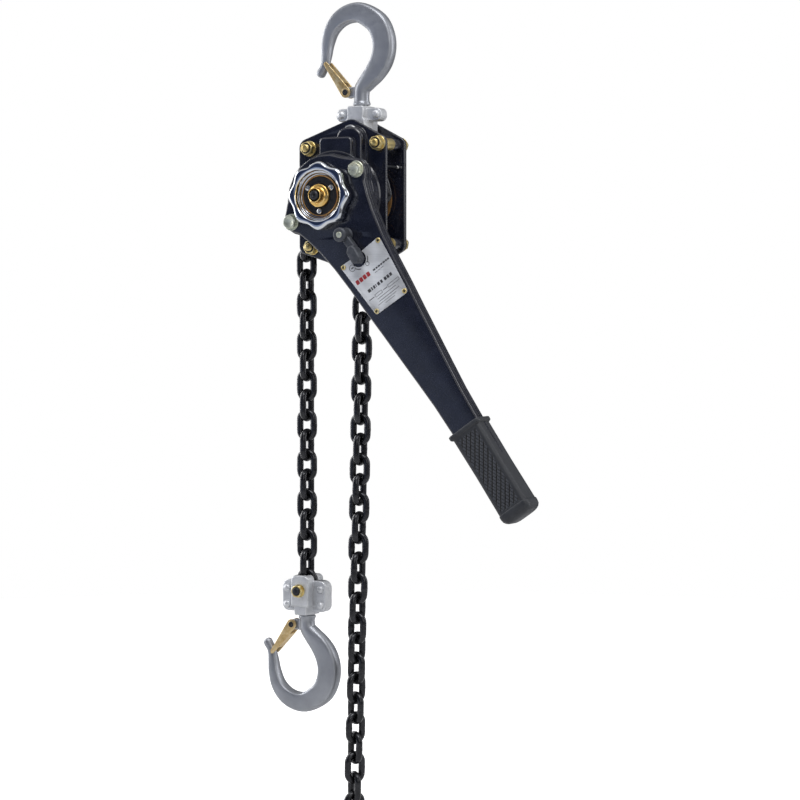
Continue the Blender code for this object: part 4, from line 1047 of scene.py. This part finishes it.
plate_shapes = [on_lever(plate(PLATE_LOOP, -61.2, -60.55, 0.18, 2,
                               [circle(centre, 1.4, 24) for centre in RIVETS], 0.05))]
for centre in RIVETS:
    plate_shapes += [(on_lever(turned(RIVET, centre, 36, True)), 1),
                     (on_lever(rod([(1.25, -60.9), (1.25, -60.6)], centre, 24)), 2)]
accents = bar_row(92.6, 97.4, 0.9, [(left, 4.0) for left in (-19.3, -14.4, -9.5, -4.6)])
inked = bar_row(94.2, 96.0, 0.3, [(4.0, 3.0), (7.8, 2.2), (10.8, 2.6), (14.2, 2.2), (17.4, 2.8),
                                  (21.0, 2.0), (23.6, 2.2)])
inked += bar_row(98.0, 98.5, 0.1, [(4.7, 3.4), (8.9, 2.6), (12.3, 4.2)])
inked += bar_row(107.8, 111.2, 0.3, [(-12.7, 3.6), (-8.2, 1.6), (-5.4, 2.2), (-2.2, 0.8),
                                     (0.2, 3.0), (4.4, 2.6), (9.4, 3.0), (13.2, 2.8),
                                     (16.8, 3.0)])
inked += box_marks(116.2, 119.4, -8.6, 0.8) + box_marks(116.2, 119.4, 9.0, 24.0)
inked += [bar(*sides) for sides in (
    (117.4, 118.2, -16.8, -9.8), (117.4, 118.2, 2.4, 8.0), (121.6, 122.1, -8.1, 16.8),
    (124.6, 125.1, -7.9, 19.4), (127.2, 127.6, -11.0, 14.0), (129.6, 130.0, -2.6, 10.4))]
inked += [arc_bar(-58, -18), arc_bar(36, 72)]
inked += [mark(circle(centre, radius, 24), holes=[circle(centre, radius - 0.5, 24)])
          for centre, radius in (((85.6, 2.6), 2.3), ((79.6, -14.2), 3.6))]
inked.append(bar(79.0, 80.2, -15.8, -12.6, 0.3))
piece("data_plate",
      plate_shapes + [(shape, 4) for shape in accents] + [(shape, 3) for shape in inked],
      [BRUSHED, ZINC, DARK, INK, ACCENT], "lever", sharp=40)

# ---------------------------------------------------------------- selector
# A turned knob with a pale screw, a neck and a pointer tab.
knob = rod([(3.0, -55.0), (3.0, -60.8), (7.6, -60.8, 0.4), (7.6, -62.2, 0.5), (7.0, -63.0, 0.5),
            (6.8, -72.0, 0.3), (7.3, -72.6, 0.4), (7.3, -75.6, 1.2), (5.9, -76.6, 0.6),
            (3.6, -76.6, 0.3), (3.3, -75.8, 0.2)], SELECTOR)
screw = turned([(CORE, -75.6), (3.1, -75.6), (3.1, -76.4, 0.3), (2.4, -76.9, 0.4),
                (CORE, -77.1)], SELECTOR, 40)
NECK = fillet([(46.0, -5.0, 1), (66.0, -3.4, 1), (66.0, 4.6, 1), (46.0, 3.0, 1)], 4)
TAB = fillet([(63.4, -1.4, 2.2), (67.6, -5.4, 3.0), (79.6, -6.0, 4.0), (83.6, -0.8, 3.4),
              (80.4, 4.8, 4.0), (68.6, 5.6, 3.4), (63.8, 3.4, 2.0)])
piece("selector_knob",
      [knob, (screw, 1), on_lever(plate(NECK, -70.4, -62.4, 1.2)),
       on_lever(plate(TAB, -75.6, -62.6, 2.0, 6))],
      [SELECT, PALE], "selector", sharp=40, name="selector")

# ---------------------------------------------------------------- hooks
# A hook is drawn upright about the middle of its bowl, with its neck at the top.
NECK_X = 6.5
LATCH_PIVOT = (-9.5, 47.6)
# Stations: x, z, width, thickness, roundness (1 is a round bar).
HOOK = [(NECK_X, 52.0, 15.8, 15.8, 1.0), (7.5, 44.0, 17.0, 15.8, 1.0),
        (14.0, 36.4, 19.6, 16.0, 0.75), (22.6, 27.6, 22.0, 16.0, 0.30),
        (29.8, 16.6, 23.2, 16.0, 0.0), (33.2, 3.6, 23.8, 16.0, 0.0),
        (31.5, -10.2, 24.0, 16.0, 0.0), (24.2, -23.2, 23.8, 16.0, 0.0),
        (7.6, -33.4, 21.6, 15.6, 0.0), (-6.6, -33.8, 19.6, 15.6, 0.0),
        (-19.4, -28.0, 16.8, 15.2, 0.0), (-28.6, -17.4, 13.8, 14.4, 0.1),
        (-33.2, -4.0, 11.8, 12.8, 0.25), (-34.8, 8.0, 10.4, 11.0, 0.5),
        (-36.2, 15.6, 9.4, 9.6, 0.75), (-38.2, 20.8, 9.2, 9.2, 1.0),
        (-40.7, 25.0, 10.0, 9.8, 1.0), (-41.9, 27.0, 9.8, 9.6, 1.0)]
# The swivel: radius, height above the yoke's face.
SWIVEL = [(8.6, 11.4), (9.0, 11.0), (9.0, 6.4), (5.5, 6.4), (5.5, -0.5), (8.2, -0.6),
          (8.9, -1.0), (9.2, -1.8), (9.1, -2.9), (8.5, -4.0), (8.1, -5.2), (7.95, -6.6)]
EAR = fillet([(6.0, 41.5, 0), (6.0, 53.0, 0), (-10.5, 53.0, 4.5), (-14.6, 48.6, 4),
              (-10.0, 42.5, 4)])


def hook_section(half_width, half_thick, roundness, count=64):
    """A flat-sided bar with broad chamfers along its faces, blended to a round bar."""
    wide, deep = 0.58, 0.84  # where the chamfers start, as shares of each half size
    slope = ((1 - wide) / (1 - deep * wide), (1 - deep) / (1 - deep * wide))
    out = []
    for k in range(count):
        angle = 2 * pi * (k + 0.5) / count
        a, b = abs(cos(angle)), abs(sin(angle))
        reach = (a ** 18 + b ** 18 + (slope[0] * a + slope[1] * b) ** 18) ** (-1 / 18)
        reach = reach * (1 - roundness) + roundness
        crown = 1.0 - 0.09 * (1 - roundness) * (reach * cos(angle)) ** 2
        out.append((reach * cos(angle) * half_width, reach * sin(angle) * half_thick * crown))
    return out


def smooth_stations(rows, steps=5):
    """A Catmull-Rom curve through the rows."""
    out = []
    last = len(rows) - 1
    for i in range(last):
        before, start, end, after = (rows[max(0, min(last, i + k))] for k in (-1, 0, 1, 2))
        for step in range(steps):
            t = step / steps
            out.append(tuple(
                0.5 * (2 * b + (c - a) * t + (2 * a - 5 * b + 4 * c - d) * t * t
                       + (3 * b - 3 * c + d - a) * t ** 3)
                for a, b, c, d in zip(before, start, end, after)))
    return out + [rows[-1]]


def hook_ring(centre, side, half_width, half_thick, roundness):
    return [(centre[0] + side.x * across, y, centre[1] + side.y * across)
            for across, y in hook_section(half_width, half_thick, roundness)]


def hook(head):
    """The hook, swivel and latch ear; head is the height of the yoke's face."""
    rings = [hook_ring((NECK_X, head + rise), Vector((1.0, 0.0)), radius, radius, 1.0)
             for radius, rise in SWIVEL]
    stations = smooth_stations(HOOK)
    for i, (x, z, width, thick, roundness) in enumerate(stations):
        before, after = stations[max(0, i - 1)], stations[min(len(stations) - 1, i + 1)]
        ahead = Vector((after[0] - before[0], after[1] - before[1])).normalized()
        if i == 0:
            ahead = Vector((0.0, -1.0))
        side = Vector((-ahead.y, ahead.x))
        rings.append(hook_ring((x, z), side, width / 2, thick / 2, clamp(roundness)))
    # The rounded tip runs on from the last station.
    for angle in (15, 30, 45, 58, 70, 80, 87):
        shrink = cos(radians(angle))
        centre = Vector((x, z)) + ahead * (3.6 * sin(radians(angle)))
        rings.append(hook_ring(centre, side, width / 2 * shrink, thick / 2 * shrink, 1.0))
    return [loft(rings), plate(EAR, -3.9, 3.9, 1.0, 4, [circle(LATCH_PIVOT, 2.2, 24)], 0.2)]


def latch():
    """Two tapered cheeks joined by two strips."""
    tip, pivot_r, tip_r = Vector((-33.0, 17.4)), 5.6, 2.2
    run = tip - Vector(LATCH_PIVOT)
    length, ahead = run.length, run.normalized()
    inward = Vector((-ahead.y, ahead.x))
    lean = acos((pivot_r - tip_r) / length)
    base = atan2(ahead.y, ahead.x)
    cheek = [polar(pivot_r, base + (lean + (2 * pi - 2 * lean) * k / 24), LATCH_PIVOT)
             for k in range(25)]
    cheek += [polar(tip_r, base + (-lean + 2 * lean * k / 10), tip) for k in range(11)]
    shapes = []
    for front, back, side in ((-6.4, -4.9, -1), (4.9, 6.4, 1)):
        collar = [(radius, side * y) for radius, y in (
            (4.3, 6.3), (4.2, 6.7), (3.8, 6.9), (2.8, 6.9), (2.35, 6.6), (2.35, 6.2))]
        shapes += [plate(spaced(cheek, 2.0), front, back, 0.5, 3,
                         [circle(LATCH_PIVOT, 2.3, 32)], 0.15),
                   turned(collar, LATCH_PIVOT, 40, True)]

    def strip(start, end, level, thick):
        def spot(along, depth):
            radius = pivot_r + (tip_r - pivot_r) * along / length
            return tuple(Vector(LATCH_PIVOT) + ahead * along + inward * (radius * level - depth))

        corners = [spot(start, 0), spot(end, 0), spot(end, thick), spot(start, thick)]
        return round_corners(corners, 0.5, 4, True)

    return shapes + [plate(strip(10.0, 30.5, 0.97, 1.4), -5.2, 5.2, 0.3, 3),
                     plate(strip(12.5, 27.0, -0.10, 1.2), -5.1, 5.1, 0.3, 3)]


LATCH_PIN = [(CORE, -7.6), (1.0, -7.3), (1.5, -7.7, 0.2), (2.6, -7.7, 0.3), (3.0, -7.2, 0.2),
             (3.0, -6.95, 0.1), (1.9, -6.9), (1.9, 6.9), (3.0, 6.95, 0.1), (3.0, 7.2, 0.2),
             (2.6, 7.7, 0.3), (1.5, 7.7, 0.2), (CORE, 7.3)]


def add_hook(which, bowl, up, yoke_face):
    """A hook with its bowl's middle at (x, z); up is -1 for the hook that is upside down."""
    def place(point):
        return bowl[0] + point[0], point[1], bowl[1] + up * point[2]

    body = f"{which}_hook"
    head = (yoke_face - bowl[1]) * up
    piece(body, [moved(shape, place) for shape in hook(head)],
          [FORGED], body, sharp=50)
    pivot = bowl[0] + LATCH_PIVOT[0], bowl[1] + up * LATCH_PIVOT[1]
    piece(f"{which}_latch_pin", [turned(LATCH_PIN, pivot, 32)], [DARK], body)
    piece(f"{which}_latch", [moved(shape, place) for shape in latch()],
          [GOLD], f"{which}_latch", sharp=40)


add_hook("top", bowl=(4.5, 156.6), up=-1, yoke_face=94.7)
add_hook("bottom", bowl=(-61.5, -495.5), up=1, yoke_face=-436.7)

# ---------------------------------------------------------------- yokes
PARTING = 0.15  # from the middle plane to each yoke half
WING_Y = 7.0    # outer face of the wings


def half_block(outline, face, edge, draft=0.0):
    """A cast block from the parting plane to its outer face, with that rim rounded."""
    side = copysign(1.0, face)
    levels = [(side * PARTING, outline), (face - side * (edge + 2.0), inset(outline, draft * 0.5))]
    return shell([levels + rim(outline, face, -side, edge, 5, base=draft)[::-1]])


def top_yoke(side):
    x = YOKE_PIN[0]
    lug = symmetric(x, [(11.4, 54.5, 9), (11.4, 79, 1.5), (9.7, 82, 1.5), (9.7, 94.4, 2.6)], 6)
    wings = symmetric(x, [(26.5, 78.5, 6), (26.5, 92.0, 6.4)])
    return [half_block(lug, side * 15.0, 1.5, draft=0.3), half_block(wings, side * WING_Y, 1.6)] + [
        dome((x + offset, 85.4), side * WING_Y, side, 4.4) for offset in (-20.3, 20.3)]


# Levels of the bottom yoke's foot: y, half-width, bottom z, its corner radius, top z.
FOOT = [(PARTING, 10.6, -436.4, 2, -418), (8.0, 10.4, -436.4, 2, -418),
        (14.2, 7.4, -436.2, 1.6, -422), (14.9, 6.6, -435.6, 1.6, -423)]


def bottom_yoke(side):
    boss = symmetric(LOAD_X, [(11, -428.0, 1.5), (11, -394, 5.5)], 6)
    foot = [(side * y, symmetric(LOAD_X, [(width, low, corner), (width, high, 1)], 5))
            for y, width, low, corner, high in FOOT]
    wings = symmetric(LOAD_X, [(26.5, -433.0, 7), (26.5, -400.0, 8)])
    return [half_block(boss, side * 17.0, 2.2, draft=0.5), stack(foot),
            half_block(wings, side * WING_Y, 1.8)] + [
        dome((LOAD_X + offset, z), side * WING_Y, side, 4.2)
        for offset in (-20, 20) for z in (-409.0, -426.0)]


def slot_cutter(rows, half_depth):
    return plate(symmetric(LOAD_X, rows), -half_depth, half_depth, 0.0, 1)


YOKE_SIDES = (("front", -1), ("rear", 1))
for place, side in YOKE_SIDES:
    piece(f"top_yoke_{place}", top_yoke(side), [CAST], "top_yoke")
for place, side in YOKE_SIDES:
    yoke = piece(f"bottom_yoke_{place}", bottom_yoke(side), [CAST], "bottom_yoke")
    cut_with(yoke, slot_cutter([(14.5, -424.4), (21.5, -406.0), (21.5, -380)], 4.5),
             slot_cutter([(4.7, -403.0), (9.6, -380)], 13.0))

CHAIN_PIN = (LOAD_X, -410.3)
piece("chain_pin",
      [rod([(5.4, 21.4, 0.5), (6.6, 20.4, 0.5), (6.6, 17.3, 0.2), (4.0, 17.3), (4.0, -22.0)],
           CHAIN_PIN, 48),
       thread_end(CHAIN_PIN, -25.6, -21.0)],
      [DARK], "load_end")
nut = discs([(4.2, -17.3), (6.8, -17.3), (7.0, -17.6), (7.0, -18.4), (6.6, -18.6)], CHAIN_PIN)
nut += hexagon(CHAIN_PIN, 6.6, -18.6, -23.4)
nut += discs([(4.8, -23.4), (4.3, -23.0), (4.2, -18.0)], CHAIN_PIN)
piece("chain_pin_nut", [stack(nut, closed=True)], [ZINC], "load_end")


# ---------------------------------------------------------------- chain
def link(centre, along, upright, twist, weld_side):
    """A link about (x, z). An upright link lies in the XZ plane before its twist."""
    ahead = Vector((along[0], 0.0, along[1])).normalized()
    angle = twist if upright else twist + pi / 2
    wide = Vector((-ahead.z, 0.0, ahead.x)) * cos(angle) + Vector((0, 1, 0)) * sin(angle)
    normal = ahead.cross(wide)
    straight = PITCH / 2 + BAR - 0.02 - BEND  # half the straight side
    path = []  # along, across, and the outward direction
    for end in (1, -1):
        for k in range(13):
            turn = -end * pi / 2 + pi * k / 12
            path.append((end * straight + BEND * cos(turn), BEND * sin(turn),
                         cos(turn), sin(turn)))
        path += [(end * (straight - 2 * straight * k / 6), end * BEND, 0.0, end)
                 for k in range(1, 6)]
    middle = Vector((centre[0], 0.0, centre[1]))
    rings = []
    for run, across, out_run, out_across in path:
        weld = 0.0
        if (across > 0) == weld_side and abs(run) < straight:
            weld = 0.20 * exp(-((run / 1.5) ** 2))
        ring = []
        for out, rise in circle(AXIS, BAR + weld, 16):
            ring.append(tuple(middle + ahead * (run + out_run * out)
                              + wide * (across + out_across * out) + normal * rise))
        rings.append(ring)
    return loft(rings, closed=True)


def chain(node, centres, first_upright, body, twists=None, before=None, after=None):
    """Links at the centres, each aimed along its neighbours; before and after aim the ends."""
    line = [before or centres[0], *centres, after or centres[-1]]
    links = []
    for i, centre in enumerate(centres):
        along = (line[i + 2][0] - line[i][0], line[i + 2][1] - line[i][1])
        upright = (i % 2 == 0) == first_upright
        weld_side = i // 2 % 2 == 0
        links.append(link(centre, along, upright, twists[i] if twists else 0.0, weld_side))
    return piece(node, links, [CHAIN], body, sharp=60)


LOAD_TOP, SLACK_TOP = -68.8, (12.5, -71.5)
LOAD_LINKS = 17
load = chain("load_chain", [(LOAD_X, LOAD_TOP - PITCH * i) for i in range(LOAD_LINKS)], True,
             "hoist_frame")
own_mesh(load)

CHAIN_R = 34.0  # radius of the chain's path round the sheave


def turning_link(strand, lean, lift):
    """The link above a strand's top link, leaning by some degrees."""
    foot = Vector(strand) + Vector((0.0, PITCH / 2))
    lean = radians(lean)
    return tuple(foot + Vector((sin(lean), cos(lean))) * (PITCH / 2) + Vector((0.0, lift)))


meeting = Vector(polar(CHAIN_R, WRAP))
tangent = Vector((-sin(WRAP), cos(WRAP)))
wrapped = [turning_link((LOAD_X, LOAD_TOP), 12.0, -1.15)]
wrapped += [tuple(meeting + tangent * PITCH * k) for k in (2, 1)]
wrapped += [polar(CHAIN_R, WRAP - radians(36 * k)) for k in range(6)]
wrapped.append(tuple(Vector(wrapped[-1]) + Vector((-0.342, -0.940)) * PITCH))
wrapped.append(turning_link(SLACK_TOP, 15.0, -1.25))
chain("wrapped_chain", wrapped, False, "hoist_frame",
      before=(wrapped[1][0] - 9.0, wrapped[1][1] - 42.0),
      after=(wrapped[-2][0] - 11.0, wrapped[-2][1] - 40.0))

SLACK_LEAN, TAIL_LIFT = 0.0196, 2.0


def slack(i, lift=0.0):
    return SLACK_TOP[0] - SLACK_LEAN * PITCH * i, SLACK_TOP[1] - PITCH * i + lift


chain("slack_chain_upper", [slack(i) for i in range(12)], True, "slack_strand")
tail = [slack(i, TAIL_LIFT) for i in range(12, 28)]
twists = [-radians(3.0) * max(0, k - 2) for k in range(16)]
chain("slack_chain_lower", tail, True, "slack_tail", twists)

# The ring on the last slack link, turned as that link is.
RING_R, RING_WIRE = 15.0, 2.9
ring_x = tail[-1][0]
ring_z = tail[-1][1] - (PITCH / 2 - 0.17) + RING_WIRE + 0.9 - RING_R
turn = twists[-1]
end_ring = []
for k in range(48):
    angle = 2 * pi * k / 48
    end_ring.append([(ring_x + radius * cos(angle) * cos(turn) - y * sin(turn),
                      radius * cos(angle) * sin(turn) + y * cos(turn),
                      ring_z + radius * sin(angle))
                     for radius, y in circle((RING_R, 0.0), RING_WIRE, 16)])
piece("chain_end_ring", [loft(end_ring, closed=True)],
      [ZINC], "slack_tail", sharp=60)

# ---------------------------------------------------------------- the CAD nodes that stay
NODE_FINISH = {"inner_friction_disc": LINING, "outer_friction_disc": LINING,
               "front_sheave_bearing": BRONZE, "rear_sheave_bearing": BRONZE}
for name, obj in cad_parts.items():
    if obj.hide_render:
        continue
    obj.data.materials.clear()
    obj.data.materials.append(NODE_FINISH.get(name, STEEL))


# ---------------------------------------------------------------- floor
def add_floor(radius=2.2, gap=0.002, count=96):
    """A pale disc just below everything, in metres; it glows for the camera only."""
    mesh = bpy.data.meshes.new("studio_floor")
    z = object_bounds()[0][2] - gap
    edge = [(x, y, z) for x, y in circle((HUB_X, HUB_Y), radius, count)]
    mesh.from_pydata(edge, [], [tuple(range(count))])
    floor = bpy.data.objects.new("studio_floor", mesh)
    bpy.context.scene.collection.objects.link(floor)
    skin = Finish("pale_floor")
    skin.colour(skin.mottle((0.3, (0.70, 0.70, 0.70)), (0.7, (0.73, 0.73, 0.73)),
                            scale=3, detail=2))
    skin.inputs["Roughness"].default_value = 0.9
    skin.inputs["Emission Color"].default_value = (1, 1, 1, 1)
    seen = skin.node("ShaderNodeLightPath").outputs["Is Camera Ray"]
    skin.tree.links.new(skin.times(seen, 0.75), skin.inputs["Emission Strength"])
    skin.inputs["Specular IOR Level"].default_value = 0.1
    mesh.materials.append(skin.material)


add_floor()

# ---------------------------------------------------------------- camera
AZIMUTH, DOWN = radians(27.869), radians(2.344)
RIGHT = Vector((cos(AZIMUTH), sin(AZIMUTH), 0.0))
AHEAD = Vector((-sin(AZIMUTH), cos(AZIMUTH), 0.0))


def add_camera(back=2495.8, right=49.24, down=107.34):
    """The camera, placed in mm from the hub."""
    look = AHEAD * cos(DOWN) + Vector((0, 0, -sin(DOWN)))
    data = bpy.data.cameras.new("camera")
    data.sensor_width = 36.0
    data.lens = 108.0
    data.clip_end = 100.0
    camera = bpy.data.objects.new("camera", data)
    camera.matrix_world = Matrix((RIGHT, RIGHT.cross(look), -look)).transposed().to_4x4()
    camera.location = to_scene(AHEAD * -back + RIGHT * right + Vector((0, 0, -down)))
    bpy.context.scene.collection.objects.link(camera)
    bpy.context.scene.camera = camera


add_camera()
bpy.context.scene.view_settings.view_transform = "Standard"

# ---------------------------------------------------------------- world
# Brightness from behind the camera (0) round to ahead of it (1): position, grey.
SURROUND = [(0.0, 0.10), (0.20, 0.16), (0.36, 0.75), (0.52, 0.85), (0.68, 0.50), (0.86, 0.32),
            (1.0, 0.24)]


def add_world():
    """Soft surroundings with a navy sector at the front left; plain white to the camera."""
    studio = bpy.data.worlds.new("studio")
    bpy.context.scene.world = studio
    studio.use_nodes = True
    tree = studio.node_tree
    tree.nodes.clear()
    output = tree.nodes.new("ShaderNodeOutputWorld")
    direction = tree.nodes.new("ShaderNodeTexCoord").outputs["Generated"]

    def toward(aim, start, stop):
        """0 to 1 as the cosine of the angle to the aim goes from start to stop."""
        dot = new_node(tree, "ShaderNodeVectorMath", {0: direction, 1: aim},
                       operation="DOT_PRODUCT")
        return map_range(tree, dot.outputs["Value"], start, stop, curve="SMOOTHSTEP")

    def height():
        return new_node(tree, "ShaderNodeSeparateXYZ", {0: direction}).outputs["Z"]

    def background(colour, strength):
        inputs = {"Color": colour, "Strength": strength}
        return new_node(tree, "ShaderNodeBackground", inputs).outputs[0]

    around = colour_ramp(tree, toward(-AHEAD, start=-1.0, stop=1.0),
                         [(at, (grey, grey, grey * 1.03)) for at, grey in SURROUND])
    shade = toward(RIGHT * -0.827 + AHEAD * -0.563, start=0.62, stop=0.95)
    below = map_range(tree, height(), start=0.028, stop=-0.02, curve="SMOOTHSTEP")
    navy = mix_colour(tree, (0.028, 0.042, 0.095), (0.42, 0.50, 0.72), below)
    colour = mix_colour(tree, around, navy, shade)
    strength = map_range(tree, height(), start=-0.2, stop=1.0, low=0.62, high=1.15)
    seen = tree.nodes.new("ShaderNodeLightPath").outputs["Is Camera Ray"]
    mix = new_node(tree, "ShaderNodeMixShader", {
        0: seen, 1: background(colour, strength), 2: background((1, 1, 1), 1.0)})
    tree.links.new(mix.outputs[0], output.inputs[0])


add_world()

# ---------------------------------------------------------------- lights
LIGHT_TARGET = (0, 0, -150)  # mm
# Name, place (right, ahead, up) from the hub and size, in metres, and power in watts.
SOFTBOXES = [
    ("key_top", (0.15, -0.95, 1.55), (1.2, 0.9), 20),
    ("side_left", (-1.9, 0.35, 0.25), (0.8, 1.5), 15),
    ("side_right", (1.75, 0.15, 0.35), (0.5, 1.5), 8),
    ("edge_left", (-1.15, 1.65, 0.15), (0.55, 1.8), 14),
    ("front_fill", (0.75, -2.2, 0.55), (1.2, 1.1), 7),
]
for name, (right, ahead, up), size, power in SOFTBOXES:
    light = bpy.data.lights.new(name, "AREA")
    light.shape, light.size, light.size_y = "RECTANGLE", size[0], size[1]
    light.energy = power
    obj = bpy.data.objects.new(name, light)
    shift = RIGHT * right + AHEAD * ahead + Vector((0, 0, up))
    obj.location = Vector((HUB_X, HUB_Y, HUB_Z)) + shift
    aim = to_scene(LIGHT_TARGET) - obj.location
    obj.rotation_euler = aim.to_track_quat("-Z", "Y").to_euler()
    bpy.context.scene.collection.objects.link(obj)
